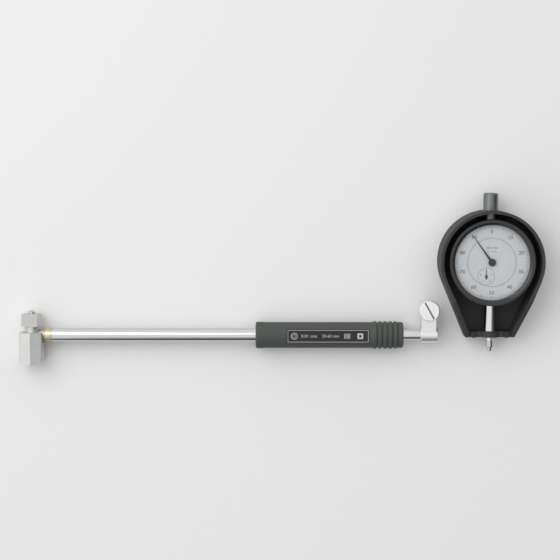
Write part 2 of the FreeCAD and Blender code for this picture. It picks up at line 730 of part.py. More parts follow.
def rod_tip():
    """Hard cap on the rod, which the contact point of the indicator rests on."""
    body = new_body("rod_tip", x=rod_end)
    depth = s.rod_tip_length - s.rod_tip_radius / 2
    end = s.rod_tip_length - depth
    revolve(body, "H", path(
        (-depth, s.rod_radius + s.fit), (-depth, s.rod_tip_radius), (end - s.free, s.rod_tip_radius),
        (end, s.rod_tip_radius - s.free), (end, 0), (0, 0), (0, s.rod_radius + s.fit)))


def rod_collar():
    """Collar that the rod spring presses on."""
    tube("rod_collar", rod_collar_start, rod_collar_start + s.rod_collar_length,
         s.rod_collar_radius, s.rod_radius + s.fit)


def rod_spring():
    """Spring that keeps the rod against the crank."""
    start = rod_collar_start + s.rod_collar_length
    coil("rod_spring", s.coil_turns, neck_start - start, s.core_bore - 3 * s.fit, s.coil_wire, "H", x=start)


def handle_core():
    """Metal core of the grip, which joins the tube to the neck tube."""
    body = new_body("handle_core")
    start = s.probe_depth + s.core_inset
    end = grip_end - s.core_inset
    left = s.tube_radius + s.fit
    right = s.neck_radius + s.fit
    revolve(body, "H", path(
        (start, left), (start, s.core_radius), (end, s.core_radius), (end, right), (neck_start, right),
        (neck_start, s.core_bore), (tube_end, s.core_bore), (tube_end, left)))


def grip_sleeve():
    """Insulating grip: a band at the tube end, ridges at the clamp end and a flat for the label."""
    body = new_body("grip_sleeve", x=s.probe_depth)
    end = s.grip_length
    inner = s.core_radius + s.fit
    band = s.grip_radius + s.ridge_groove / 2
    edge = s.free * 2
    half = s.ridge_pitch / 2
    first = end - s.ridge_margin - (s.ridge_count - 1) * s.ridge_pitch
    low = s.grip_radius - s.ridge_groove
    high = s.grip_radius + s.ridge_height
    profile = [(0, inner), (0, band - edge), (edge, band), (s.grip_band, band),
               (s.grip_band + s.ridge_groove, s.grip_radius), (first - half, s.grip_radius)]
    for number in range(int(float(s.ridge_count))):
        middle = first + number * s.ridge_pitch
        profile += [(middle - half * 0.4, high), (middle + half * 0.4, high), (middle + half, low)]
    profile += [(end - s.ridge_margin + half, s.grip_radius), (end - edge, s.grip_radius),
                (end, s.grip_radius - edge), (end, inner)]
    revolve(body, "H", path(*profile))
    pocket(body, "XY_Plane", s.label_height, s.grip_radius + 1, box(
        s.label_start - s.fit, -s.grip_radius, s.label_start + s.label_length + s.fit, s.grip_radius))


def label_plate():
    """Plate on the flat of the grip."""
    body = new_body("label_plate", s.probe_depth + s.label_start, 0, s.label_height)
    half = s.label_width / 2
    pad(body, "XY_Plane", 0, s.label_thickness, box(0, -half, s.label_length, half))
    soften("Fillet", body, s.free * 2, lambda b: b.ZLength > 0.1)


def neck_tube():
    """Tube from the grip to the clamp."""
    tube("neck_tube", neck_start, neck_end, s.neck_radius, s.neck_bore)


def neck_bush():
    """Bush that guides the rod in the neck tube."""
    middle = grip_end - s.neck_seat / 2
    half = s.neck_bush_length / 2
    tube("neck_bush", middle - half, middle + half, s.neck_bore - s.fit, s.rod_radius + s.running)


# ---------------------------------------------------------------- stem clamp

def stem_clamp():
    """Split ring on the neck tube, with two ears that the screw draws together."""
    body = new_body("stem_clamp", x=clamp_start)
    length = s.clamp_seat + s.clamp_grip
    outer = s.stem_radius + s.clamp_wall
    middle = length / 2 - s.free
    half = s.ear_radius
    revolve(body, "H", box(0, 0, length, outer))
    soften("Chamfer", body, s.free, lambda b: b.XLength < 0.01 and b.YLength > 2 * float(s.stem_radius))
    pad(body, "XY_Plane", -s.ear_half, s.ear_half, box(middle - half, 0, middle + half, s.ear_reach))
    pad(body, "XY_Plane", -s.ear_half, s.ear_half, disc(middle, s.ear_reach, half))
    groove(body, "H", box(-1, 0, length + 1, s.neck_radius + s.fit))
    groove(body, "H", box(s.clamp_seat, 0, length + 1, s.stem_radius))
    pocket(body, "XY_Plane", -s.clamp_slit / 2, s.clamp_slit / 2,
           box(-1, 0, length + 1, s.ear_reach + half + 1))
    pocket(body, "XY_Plane", -s.ear_half - 1, s.ear_half + 1,
           disc(middle, s.ear_reach, s.screw_radius + s.running))


def clamp_screw():
    """Knurled screw with a screwdriver slot, which closes the clamp."""
    place_x = clamp_start + (s.clamp_seat + s.clamp_grip) / 2 - s.free
    seat = s.ear_half + s.running
    body = new_body("clamp_screw", place_x, s.ear_reach, seat)
    top = s.screw_head_height
    pad(body, "XY_Plane", -seat - s.ear_half, 1, disc(0, 0, s.screw_radius))
    pad(body, "XY_Plane", 0, top, disc(0, 0, s.screw_head))
    soften("Chamfer", body, s.knurl_depth * 1.5, lambda b: near(b.ZMin, top))
    wide = s.knurl_depth * 0.8
    cut = pocket(body, "XY_Plane", -1, top + 1, path(
        (s.screw_head - s.knurl_depth, 0), (s.screw_head + s.free, -wide), (s.screw_head + s.free, wide)))
    around(body, cut, s.knurl_count)
    half = s.screw_slot / 2
    pocket(body, "XY_Plane", top - 1.2, top + 1,
           box(-s.screw_head - 1, -half, s.screw_head + 1, half))
    turn(body, s.screw_slot_angle)


# ---------------------------------------------------------------- guard of the indicator

def dial_body(name, x=0, y=0, z=0):
    """A body placed from the point under the dial centre, at the guard's underside."""
    return new_body(name, dial_x + x, dial_y + y, floor + z)


def guard_outline(radius, foot_half, foot):
    """A ring that runs out tangentially into a straight-sided foot."""
    square = foot_half * foot_half + foot * foot
    reach = root(square - radius * radius)
    touch_x = radius / square * (radius * foot_half + reach * foot)
    touch_y = radius / square * (reach * foot_half - radius * foot)
    return path((foot_half, -foot), (touch_x, touch_y), (-touch_x, touch_y), (-foot_half, -foot),
                arcs={1: ((0, radius), radius)})


def guard_shell():
    """Open cup round the case, with sloping walls to a foot that holds the stem."""
    body = dial_body("guard_shell")
    top = s.guard_height
    inner = s.guard_radius - s.guard_wall
    pad(body, "XY_Plane", 0, top, guard_outline(s.guard_radius, s.guard_foot_half, s.guard_foot))
    pocket(body, "XY_Plane", s.guard_base, top + 1,
           guard_outline(inner, s.guard_foot_half - s.guard_wall, foot_top))
    pocket(body, "YZ_Plane", -s.guard_radius - 1, s.guard_radius + 1, path(
        (-s.guard_slope_start, top), (-s.guard_slope_start, top + 1), (-s.guard_foot - 1, top + 1),
        (-s.guard_foot - 1, s.guard_foot_height), (-s.guard_foot, s.guard_foot_height)))
    pocket(body, "XZ_Plane", -s.guard_foot - 1, -foot_top, box(
        -s.strap_half - s.fit * 2, s.spindle_height, s.strap_half + s.fit * 2, top))
    pocket(body, "XZ_Plane", -s.guard_foot - 1, -foot_top + 1,
           disc(0, s.spindle_height, s.stem_radius + s.fit))
    pocket(body, "XZ_Plane", 0, s.guard_radius + 1,
           disc(0, s.spindle_height, s.cap_radius + s.free))
    holes = [disc(side * s.strap_screw_place, -foot_top - s.strap_width / 2, s.small_screw + s.fit)
             for side in (1, -1)]
    pocket(body, "XY_Plane", s.spindle_height - s.strap_screw_length, s.spindle_height, *holes)


def guard_strap():
    """Strap over the stem, screwed to the guard's foot."""
    body = dial_body("guard_strap", z=s.spindle_height)
    start = s.fit - s.guard_foot
    end = -foot_top
    pad(body, "XZ_Plane", start, end, box(-s.strap_half, 0, s.strap_half, s.strap_thickness))
    pad(body, "XZ_Plane", start, end, disc(0, 0, s.stem_radius + s.strap_arch))
    pocket(body, "XZ_Plane", start - 1, end + 1, disc(0, 0, s.stem_radius + s.fit))
    pocket(body, "XZ_Plane", start - 1, end + 1,
           box(-s.strap_half - 1, -s.stem_radius - s.strap_arch - 1, s.strap_half + 1, 0))
    holes = [disc(side * s.strap_screw_place, -foot_top - s.strap_width / 2, s.small_screw + s.fit)
             for side in (1, -1)]
    pocket(body, "XY_Plane", 0, s.strap_thickness + 1, *holes)


def strap_screws():
    """Two cheese-head screws of the strap."""
    for number, side in ((1, -1), (2, 1)):
        body = dial_body(f"strap_screw_{number}", side * s.strap_screw_place, -foot_top - s.strap_width / 2,
                         s.spindle_height + s.strap_thickness)
        head = s.strap_screw_head * 0.7
        pad(body, "XY_Plane", s.free - s.strap_screw_length - s.strap_thickness, head / 2,
            disc(0, 0, s.small_screw))
        pad(body, "XY_Plane", 0, head, disc(0, 0, s.strap_screw_head))
        soften("Chamfer", body, head * 0.3, lambda b: near(b.ZMin, head))
        half = s.strap_screw_head * 0.14
        pocket(body, "XY_Plane", head / 2, head + 1,
               box(-s.strap_screw_head, -half, s.strap_screw_head, half))


# ---------------------------------------------------------------- case of the indicator

def back_cover():
    """Disc that closes the case behind."""
    body = dial_body("back_cover", z=cover_start)
    pad(body, "XY_Plane", 0, s.cover_thickness, disc(0, 0, s.case_radius - s.cover_inset))


def dial_case():
    """Round case with an inner front wall, a neck for the bezel and openings for stem and cap."""
    body = dial_body("dial_case")
    revolve(body, "V", path(
        (s.case_bore, case_start), (s.case_radius, case_start), (s.case_radius, s.bezel_start - s.running),
        (s.case_neck, s.bezel_start - s.running), (s.case_neck, s.case_front), (0, s.case_front),
        (0, front_low), (s.case_bore, front_low)), role="XZ_Plane")
    pocket(body, "XZ_Plane", -s.case_radius - 1, 0, disc(0, s.spindle_height, s.stem_radius + s.fit))
    pocket(body, "XZ_Plane", 0, s.case_radius + 1, disc(0, s.spindle_height, s.cap_neck + s.fit))
    clear = s.arbor_radius + s.free
    counter = (-counter_x, -s.counter_drop)
    pocket(body, "XY_Plane", front_low - 1, s.case_front + 1, disc(0, 0, clear))
    pocket(body, "XY_Plane", front_low - 1, s.case_front + 1, disc(*counter, clear))
    pocket(body, "XY_Plane", front_low - 1, front_low + s.case_front_wall / 2,
           disc(takeup_x, takeup_y, s.arbor_radius + s.fit))
    stud_x = takeup_x + hair_end
    pad(body, "XY_Plane", hair_low, front_low + s.free, disc(stud_x, takeup_y, s.arbor_radius))


def stem():
    """Stem of 8 mm that the clamp holds."""
    body = new_body("stem", dial_x, dial_y, spindle_z)
    revolve(body, "V", box(s.spindle_radius + s.running, -s.stem_foot, s.stem_radius, -s.stem_head))
    soften("Chamfer", body, s.free, lambda b: near(b.YMin, -s.stem_foot) and b.YLength < 0.01
           and b.XLength > 2 * float(s.spindle_radius) + 1)


def spindle_cap():
    """Dust cap over the upper end of the spindle."""
    body = new_body("spindle_cap", dial_x, dial_y, spindle_z)
    slip = s.spindle_radius + s.running
    wide = s.spindle_radius + s.free
    start = s.case_bore + s.free
    revolve(body, "V", path(
        (slip, start), (s.cap_neck, start), (s.cap_neck, cap_start), (s.cap_radius, cap_start),
        (s.cap_radius, s.cap_end), (0, s.cap_end), (0, s.spindle_top + spindle_travel + 1),
        (wide, s.spindle_top + spindle_travel + 1), (wide, cap_start), (slip, cap_start)))
    soften("Chamfer", body, s.free * 3, lambda b: near(b.YMin, s.cap_end))


def spindle():
    """Sliding spindle with the rack that drives the gear train."""
    body = new_body("spindle", dial_x, dial_y, spindle_z)
    revolve(body, "V", path(
        (0, -s.spindle_foot), (s.spindle_radius, -s.spindle_foot), (s.spindle_radius, rack_low),
        (s.rack_radius, rack_low), (s.rack_radius, rack_high), (s.spindle_radius, rack_high),
        (s.spindle_radius, s.spindle_top), (0, s.spindle_top)))
    flat = -rack_line - rack_module * s.tooth_height
    pocket(body, "XY_Plane", -s.rack_radius - 1, s.rack_radius + 1,
           box(-s.rack_radius - 1, rack_low - 1, flat, rack_high + 1))
    deep = rack_module * s.tooth_root
    half = s.rack_pitch / 4 + s.tooth_gap / 2
    mouth = half + (rack_module * s.tooth_height + s.fit) * half / deep
    first = -s.counter_drop - rack_teeth_below * s.rack_pitch - s.rack_pitch / 2
    cut = pocket(body, "XY_Plane", -s.rack_radius - 1, s.rack_radius + 1, path(
        (deep - rack_line, first), (flat - s.fit, first + mouth), (flat - s.fit, first - mouth)))
    pattern = body.newObject("PartDesign::LinearPattern", "rack_teeth")
    pattern.Originals = [cut]
    pattern.Direction = (cut.Profile[0], ["V_Axis"])
    pattern.Mode = "Spacing"
    pattern.setExpression("Offset", s.rack_pitch.text)
    pattern.Occurrences = rack_teeth_count
    body.Tip = pattern
    pocket(body, "YZ_Plane", -s.rack_radius - 1, s.rack_radius + 1,
           disc(s.spindle_pin_rise, 0, s.spindle_pin_radius + s.fit))


def contact_point():
    """Contact point screwed to the spindle, with its ball."""
    body = new_body("contact_point", dial_x, dial_y - s.spindle_foot, spindle_z)
    ball = s.point_reach - s.point_length
    neck = ball * 0.62
    revolve(body, "V", path(
        (0, 0), (0, -s.point_reach), (neck * 0.4, -s.point_reach), (neck * 0.9, -s.point_reach + neck * 0.5),
        (neck, -s.point_length), (s.point_radius, -s.point_length + s.free), (s.point_radius, 0)))


# ---------------------------------------------------------------- gear train

def toothed(body, low, high, teeth, module, start_angle):
    """Adds a toothed wheel: a disc with straight-flanked gaps cut all round it."""
    pitch_radius = module * teeth / 2
    tip = pitch_radius + module * s.tooth_height
    base = pitch_radius - module * s.tooth_root
    half = module * size_of(math.pi) / 4 + s.tooth_gap / 2
    outer = half + (module * s.tooth_height + s.fit) * half / (module * s.tooth_root)
    along, across = cosine(start_angle), sine(start_angle)

    def spot(distance, aside):
        return (distance * along - aside * across, distance * across + aside * along)

    pad(body, "XY_Plane", low, high, disc(0, 0, tip))
    gap = pocket(body, "XY_Plane", low - s.fit, high + s.fit, path(
        spot(base, 0), spot(tip + s.fit, -outer), spot(tip + s.fit, outer)))
    around(body, gap, teeth)


def counter_gear():
    """Arbor with the rack pinion and the large gear, which also carries the small hand."""
    body = dial_body("counter_gear", -counter_x, -s.counter_drop)
    pad(body, "XY_Plane", bridge_low, counter_level + s.hand_thickness, disc(0, 0, s.arbor_radius))
    half = s.spindle_radius * 0.75
    toothed(body, s.spindle_height - half, s.spindle_height + half, s.rack_teeth_met, rack_module, size_of(0))
    toothed(body, gear_low, gear_high, s.gear_teeth, gear_module, counter_aim)


def centre_pinion():
    """Arbor of the main hand with the pinion that both large gears drive."""
    body = dial_body("centre_pinion")
    pad(body, "XY_Plane", plate_low + s.fit, hand_top - s.free, disc(0, 0, s.arbor_radius))
    toothed(body, plate_high + s.fit * 3, takeup_high + s.free, s.pinion_teeth, gear_module,
            counter_aim + 180 + 180 / s.pinion_teeth)


def takeup_gear():
    """Gear under the hairspring, which takes the play out of the train."""
    body = dial_body("takeup_gear", takeup_x, takeup_y)
    pad(body, "XY_Plane", plate_low + s.fit, front_low + s.case_front_wall / 2 - s.fit,
        disc(0, 0, s.arbor_radius))
    pad(body, "XY_Plane", takeup_high, hair_low + s.hair_height, disc(0, 0, s.hair_start * 0.65))
    toothed(body, takeup_low, takeup_high, s.takeup_teeth, gear_module, counter_aim + takeup_swing)


def hairspring():
    """Flat spiral between the take-up gear and its stud, in half turns of growing radius."""
    step = float(s.hair_pitch) / 2
    half = float(s.hair_thickness) / 2
    count = 2 * int(float(s.hair_turns))

    def side(offset):
        arcs = []
        for number in range(count):
            centre = step * (number % 2)
            radius = float(s.hair_start) + number * step + offset
            sign = 1 if number % 2 == 0 else -1
            arcs.append(Part.Arc(V(centre + sign * radius, 0, 0), V(centre, sign * radius, 0),
                                 V(centre - sign * radius, 0, 0)).toShape())
        return arcs

    inner, outer = side(-half), side(half)
    start = Part.makeLine(inner[0].Vertexes[0].Point, outer[0].Vertexes[0].Point)
    end = Part.makeLine(inner[-1].Vertexes[1].Point, outer[-1].Vertexes[1].Point)
    edges = Part.__sortEdges__([start, end] + inner + outer)
    strip = Part.Face(Part.Wire(edges)).extrude(V(0, 0, float(s.hair_height)))
    spring = doc.addObject("Part::Feature", "hairspring")
    spring.Label = "hairspring"
    spring.Shape = strip
    place(spring, dial_x + takeup_x, dial_y + takeup_y, floor + hair_low)


def movement_plate():
    """Six-sided plate under the gears, held from the case front by three posts."""
    body = dial_body("movement_plate")
    corners = [(s.plate_radius * cosine(60 * n), s.plate_radius * sine(60 * n)) for n in range(6)]
    pad(body, "XY_Plane", plate_low, plate_high, path(*corners))
    post = pad(body, "XY_Plane", plate_high, front_low,
               disc(s.post_place * cosine(60), s.post_place * sine(60), s.post_radius))
    around(body, post, 3)
    room = s.arbor_radius + s.running
    pocket(body, "XY_Plane", plate_low - 1, plate_high + 1, disc(0, 0, room),
           disc(-counter_x, -s.counter_drop, room), disc(takeup_x, takeup_y, room))


def pinion_bridge():
    """Bracket under the movement plate that carries the lower end of the counter arbor."""
    body = dial_body("pinion_bridge", -counter_x, -s.counter_drop)
    thick = s.plate_thickness
    leg = counter_x + s.post_radius
    arm = counter_x - s.rack_radius - s.free
    wide = s.spindle_radius
    pad(body, "XZ_Plane", -wide, wide, path(
        (-leg, bridge_low), (arm, bridge_low), (arm, bridge_low + thick),
        (-leg + thick * 2, bridge_low + thick), (-leg + thick * 2, plate_low), (-leg, plate_low)))
    pocket(body, "XY_Plane", bridge_low - 1, bridge_low + thick + 1, disc(0, 0, s.arbor_radius + s.running))


def spindle_pin():
    """Cross pin of the spindle: it runs in the guide rail and holds the return spring."""
    body = new_body("spindle_pin", dial_x, dial_y + s.spindle_pin_rise, spindle_z)
    pad(body, "YZ_Plane", s.fit - s.spindle_radius, rail_near + s.spindle_pin_radius * 1.6,
        disc(0, 0, s.spindle_pin_radius))


def guide_rail():
    """Slotted rail that keeps the spindle from turning."""
    body = dial_body("guide_rail", rail_near)
    thick = s.spindle_pin_radius * 2
    slot = s.spindle_pin_radius + s.running
    low = s.spindle_pin_rise - slot
    high = s.spindle_pin_rise + spindle_travel + slot
    pad(body, "YZ_Plane", 0, thick, box(low - thick, case_start, high + thick, plate_low))
    pocket(body, "YZ_Plane", -1, thick + 1,
           box(low, s.spindle_height - slot, high, s.spindle_height + slot))


def return_spring():
    """Spring that draws the spindle out."""
    low = -return_drop
    length = s.spindle_pin_rise - s.spindle_pin_radius - s.fit - low
    coil("return_spring", s.return_turns, length, s.return_coil, s.return_wire, "V",
         dial_x + s.return_place, dial_y + low, spindle_z)


def spring_post():
    """Post that the return spring is hooked to."""
    body = dial_body("spring_post", s.return_place, -return_drop - s.post_radius - s.fit)
    pad(body, "XY_Plane", case_start, s.spindle_height + s.return_coil, disc(0, 0, s.post_radius))


# ---------------------------------------------------------------- dial, hands and bezel

def dial_plate():
    """Fixed disc in the middle of the dial."""
    body = dial_body("dial_plate", z=s.case_front)
    clear = s.arbor_radius + s.free
    pad(body, "XY_Plane", 0, s.disc_thickness, disc(0, 0, s.disc_radius))
    pocket(body, "XY_Plane", -1, s.disc_thickness + 1, disc(0, 0, clear),
           disc(-counter_x, -s.counter_drop, clear))


def scale_ring():
    """Ring of the dial that turns with the bezel."""
    body = dial_body("scale_ring", z=s.case_front + s.running)
    pad(body, "XY_Plane", 0, s.disc_thickness, disc(0, 0, s.scale_radius))
    pocket(body, "XY_Plane", -1, s.disc_thickness + 1, disc(0, 0, s.disc_radius + 4 * s.running))


def bezel():
    """Turning bezel with an inner slope, a groove for the crystal and a seat for the scale ring."""
    body = dial_body("bezel")
    edge = s.bezel_radius
    seat = s.scale_radius + s.fit
    crystal_top = s.crystal_start + s.crystal_thickness
    revolve(body, "V", path(
        (s.case_neck + 2 * s.running, s.bezel_start), (edge, s.bezel_start),
        (edge, s.bezel_top - s.free * 2), (edge - s.free * 2, s.bezel_top), (s.bezel_slope, s.bezel_top),
        (s.bezel_lip, crystal_top + s.fit), (s.crystal_radius + s.fit, crystal_top + s.fit),
        (s.crystal_radius + s.fit, s.crystal_start), (seat, s.crystal_start),
        (seat, s.case_front + s.running), (s.case_neck + 2 * s.running, s.case_front + s.running)),
        role="XZ_Plane")


def crystal():
    """Clear cover of the dial."""
    body = dial_body("crystal", z=s.crystal_start)
    pad(body, "XY_Plane", 0, s.crystal_thickness, disc(0, 0, s.crystal_radius))


def main_hand():
    """Tapered hand with a round hub."""
    body = dial_body("main_hand")
    low = s.hand_level
    top = low + s.hand_thickness
    half = s.hand_half
    pad(body, "XY_Plane", low - s.hand_thickness, hand_top, disc(0, 0, s.hand_hub))
    pad(body, "XY_Plane", low, top, path(
        (-half, 0), (half, 0), (s.fit, s.hand_length), (-s.fit, s.hand_length)))
    soften("Chamfer", body, s.free * 0.5, lambda b: near(b.ZMin, hand_top))
    pocket(body, "XY_Plane", low - 1, hand_top - s.free + s.fit, disc(0, 0, s.arbor_radius + s.fit))
    turn(body, s.hand_angle)


def counter_hand():
    """Small hand that counts the turns of the main hand."""
    body = dial_body("counter_hand", -counter_x, -s.counter_drop)
    low = counter_level
    top = low + s.hand_thickness
    pad(body, "XY_Plane", low, top, disc(0, 0, s.arbor_radius * 2))
    pad(body, "XY_Plane", low, top, path(
        (-s.arbor_radius, -s.counter_tail), (s.arbor_radius, -s.counter_tail),
        (s.fit, s.counter_length), (-s.fit, s.counter_length)))
    pocket(body, "XY_Plane", low - 1, top + 1, disc(0, 0, s.arbor_radius + s.fit))


# ---------------------------------------------------------------- building, checking and writing

PIECES = [
    head_body, contact_plunger, contact_tip, bell_crank, crank_pin, guide_shoe, guide_pin, guide_springs,
    anvil, anvil_washer, anvil_nut, head_collar, stem_tube, tube_bush, bush_pin, push_rod, rod_tip,
    rod_collar, rod_spring, handle_core, grip_sleeve, label_plate, neck_tube, neck_bush, stem_clamp,
    clamp_screw, guard_shell, guard_strap, strap_screws, back_cover, dial_case, stem,
    spindle_cap, spindle, contact_point, counter_gear, centre_pinion, takeup_gear, hairspring,
    movement_plate, pinion_bridge, spindle_pin, guide_rail, return_spring, spring_post, dial_plate,
    scale_ring, bezel, crystal, main_hand, counter_hand,
]


def check_features():
    """Every feature is up to date, and every cut takes something away."""
    for thing in doc.Objects:
        if "Invalid" in thing.State or "Error" in thing.State:
            raise RuntimeError(f"{thing.Name} ({thing.TypeId}) failed: {thing.State}")
        if thing.TypeId in ("PartDesign::Pocket", "PartDesign::Groove"):
            if thing.Shape.Volume > thing.BaseFeature.Shape.Volume - 1e-6:
                raise RuntimeError(f"{thing.Name} cuts nothing")


def sub_parts():
    """The pieces: bodies, and shapes that stand on their own."""
    return [thing for thing in doc.Objects if thing.TypeId in ("PartDesign::Body", "Part::Feature")]


for make in PIECES:
    make()
doc.recompute()
check_features()
os.makedirs("parts", exist_ok=True)
for piece in sub_parts():
    if piece.Shape.isNull() or not piece.Shape.isValid() or len(piece.Shape.Solids) != 1:
        raise RuntimeError(f"{piece.Label} is not one sound solid")
    piece.Shape.exportStep(f"parts/{piece.Label}.step")
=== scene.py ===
"""Dial bore gauge: metal and plastic finishes, printed dial and label, and a plain studio."""

import json
import math

import bmesh
import bpy
from mathutils import Matrix, Vector

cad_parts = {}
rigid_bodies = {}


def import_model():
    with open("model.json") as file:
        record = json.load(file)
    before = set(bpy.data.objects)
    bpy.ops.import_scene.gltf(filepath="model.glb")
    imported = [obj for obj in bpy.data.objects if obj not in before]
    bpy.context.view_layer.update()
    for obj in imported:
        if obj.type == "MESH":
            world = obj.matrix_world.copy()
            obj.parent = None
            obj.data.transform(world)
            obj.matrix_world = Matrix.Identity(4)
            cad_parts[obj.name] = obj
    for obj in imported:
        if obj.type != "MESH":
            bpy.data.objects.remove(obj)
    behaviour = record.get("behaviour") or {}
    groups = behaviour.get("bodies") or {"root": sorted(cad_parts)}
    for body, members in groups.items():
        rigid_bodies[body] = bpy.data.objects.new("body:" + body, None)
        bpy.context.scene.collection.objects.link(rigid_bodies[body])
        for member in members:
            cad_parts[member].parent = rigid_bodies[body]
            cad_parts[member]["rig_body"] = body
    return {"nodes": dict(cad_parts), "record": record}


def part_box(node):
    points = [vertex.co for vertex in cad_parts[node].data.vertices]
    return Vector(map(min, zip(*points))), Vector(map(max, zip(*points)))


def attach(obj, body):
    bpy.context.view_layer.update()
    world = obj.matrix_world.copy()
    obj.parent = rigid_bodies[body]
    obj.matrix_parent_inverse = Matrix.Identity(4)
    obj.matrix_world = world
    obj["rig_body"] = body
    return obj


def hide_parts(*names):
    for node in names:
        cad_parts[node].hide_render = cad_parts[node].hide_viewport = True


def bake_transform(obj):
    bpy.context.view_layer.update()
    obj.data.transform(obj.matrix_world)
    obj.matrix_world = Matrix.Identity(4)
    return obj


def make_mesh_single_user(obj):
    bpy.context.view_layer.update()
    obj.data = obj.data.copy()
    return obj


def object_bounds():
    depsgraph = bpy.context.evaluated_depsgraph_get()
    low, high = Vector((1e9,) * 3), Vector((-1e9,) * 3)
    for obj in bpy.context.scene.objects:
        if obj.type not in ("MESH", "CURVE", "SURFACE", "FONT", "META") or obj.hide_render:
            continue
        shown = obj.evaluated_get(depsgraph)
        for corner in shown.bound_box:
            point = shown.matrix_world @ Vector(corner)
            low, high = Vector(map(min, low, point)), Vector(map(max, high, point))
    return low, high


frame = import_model()
cad_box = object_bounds()

bl_info = {
    "name": "Dial Bore Gauge",
    "version": (1, 0, 0),
    "blender": (4, 5, 0),
    "location": "3D View > Sidebar > Bore Gauge",
    "description": "Finishes, dial print and studio of a dial bore gauge",
    "category": "Object",
}

MM = 0.001


# Node trees


class Term:
    """One output of a node tree. Sums and products of terms add Math nodes."""

    def __init__(self, tree, socket):
        self.tree = tree
        self.socket = socket

    def maths(self, operation, first, second=0.0):
        return self.tree.node("ShaderNodeMath", {"operation": operation}, {0: first, 1: second})

    def __add__(self, other):
        return self.maths("ADD", self, other)

    def __radd__(self, other):
        return self.maths("ADD", other, self)

    def __sub__(self, other):
        return self.maths("SUBTRACT", self, other)

    def __rsub__(self, other):
        return self.maths("SUBTRACT", other, self)

    def __mul__(self, other):
        return self.maths("MULTIPLY", self, other)

    def __rmul__(self, other):
        return self.maths("MULTIPLY", other, self)

    def __truediv__(self, other):
        return self.maths("DIVIDE", self, other)

    def __mod__(self, other):
        return self.maths("FLOORED_MODULO", self, other)

    def __gt__(self, other):
        return self.maths("GREATER_THAN", self, other)

    def __lt__(self, other):
        return self.maths("LESS_THAN", self, other)

    def sine(self):
        return self.maths("SINE", self)

    def cosine(self):
        return self.maths("COSINE", self)


class Tree:
    """A node tree being made. One method adds every kind of node."""

    def __init__(self, tree):
        self.tree = tree

    def node(self, kind, settings=None, inputs=None, output=0):
        """Adds a node, sets it up, then fills or links its sockets, and hands back one output."""
        made = self.tree.nodes.new(kind)
        for key, value in (settings or {}).items():
            if key == "stops":
                ramp = made.color_ramp.elements
                for place, tone in value[2:]:
                    ramp.new(place)
                for stop, (place, tone) in zip(ramp, sorted(value)):
                    stop.position = place
                    stop.color = (tone, tone, tone, 1.0)
            else:
                setattr(made, key, value)
        for key, value in (inputs or {}).items():
            if isinstance(value, Term):
                self.tree.links.new(value.socket, made.inputs[key])
            else:
                made.inputs[key].default_value = value
        return Term(self, made.outputs[output]) if made.outputs else None


class Finish(Tree):
    """A surface finish: a material whose patterns read the piece's own coordinates, in metres."""

    def __init__(self, name):
        self.material = bpy.data.materials.new(name)
        self.material.use_nodes = True
        super().__init__(self.material.node_tree)
        self.tree.nodes.clear()
        self.place = self.node("ShaderNodeTexCoord", output=3)

    def scaled(self, x, y, z):
        """The place, stretched, in cycles for each metre."""
        return self.node(
            "ShaderNodeVectorMath", {"operation": "MULTIPLY"}, {0: self.place, 1: (x, y, z)}
        )

    def noise(self, place, detail=2.0, rough=0.5):
        """Soft random values from 0 to 1."""
        return self.node(
            "ShaderNodeTexNoise",
            {"noise_dimensions": "3D"},
            {"Vector": place, "Scale": 1.0, "Detail": detail, "Roughness": rough},
        )

    def blotches(self, size, low=0.35, high=0.65):
        """Patches of the given size, sharpened between two levels."""
        cycles = 1.0 / size
        return self.node(
            "ShaderNodeMapRange",
            {"interpolation_type": "SMOOTHSTEP"},
            {
                "Value": self.noise(self.scaled(cycles, cycles, cycles)),
                "From Min": low,
                "From Max": high,
            },
        )

    def mix(self, mask, low, high):
        """Colour low where the mask is 0, high where it is 1."""
        return self.node("ShaderNodeMix", {"data_type": "RGBA"}, {0: mask, 6: low, 7: high}, 2)

    def height(self):
        """How high the place lies."""
        return self.node("ShaderNodeSeparateXYZ", None, {0: self.place}, 2)

    def off_axis(self, axis):
        """How far the place lies from an upright axis."""
        flat = self.scaled(1, 1, 0)
        spot = (axis.x, axis.y, 0)
        return self.node("ShaderNodeVectorMath", {"operation": "DISTANCE"}, {0: flat, 1: spot}, 1)

    def overlay(self, tone, second):
        """The tone, with a second colour where its mask is 1."""
        if second is None:
            return tone
        mask, colour = second
        return self.mix(mask(self), tone, shade(colour, 1.0))

    def surface(self, colour, roughness, metallic=0.0, height=None, depth=0.0, **steady):
        """Ends the finish in one glossy shader. Height, from 0 to 1, stands depth metres high."""
        values = {"Base Color": colour, "Roughness": roughness, "Metallic": metallic}
        if height is not None:
            values["Normal"] = self.node(
                "ShaderNodeBump", None, {"Strength": 1.0, "Distance": depth, "Height": height}
            )
        for name, value in steady.items():
            values[name.replace("_", " ")] = value
        shader = self.node("ShaderNodeBsdfPrincipled", None, values)
        self.node("ShaderNodeOutputMaterial", None, {"Surface": shader})


def shade(colour, factor):
    """A colour made lighter or darker, with full alpha."""
    return (colour[0] * factor, colour[1] * factor, colour[2] * factor, 1.0)


# Finishes


def metal(name, colour, roughness, grain, depth, smear=0.08, second=None):
    """Ground or turned metal: grain holds the cycles for each metre along x, y and z."""
    finish = Finish(name)
    lines = finish.noise(finish.scaled(*grain), 3.0, 0.6)
    patches = finish.blotches(14 * MM)
    tone = finish.mix(patches, shade(colour, 0.95), shade(colour, 1.03))
    tone = finish.overlay(finish.mix(lines * 0.35, tone, shade(colour, 0.86)), second)
    rough = patches * smear + lines * 0.06 + (roughness - smear / 2)
    finish.surface(tone, rough, 1.0, lines, depth)


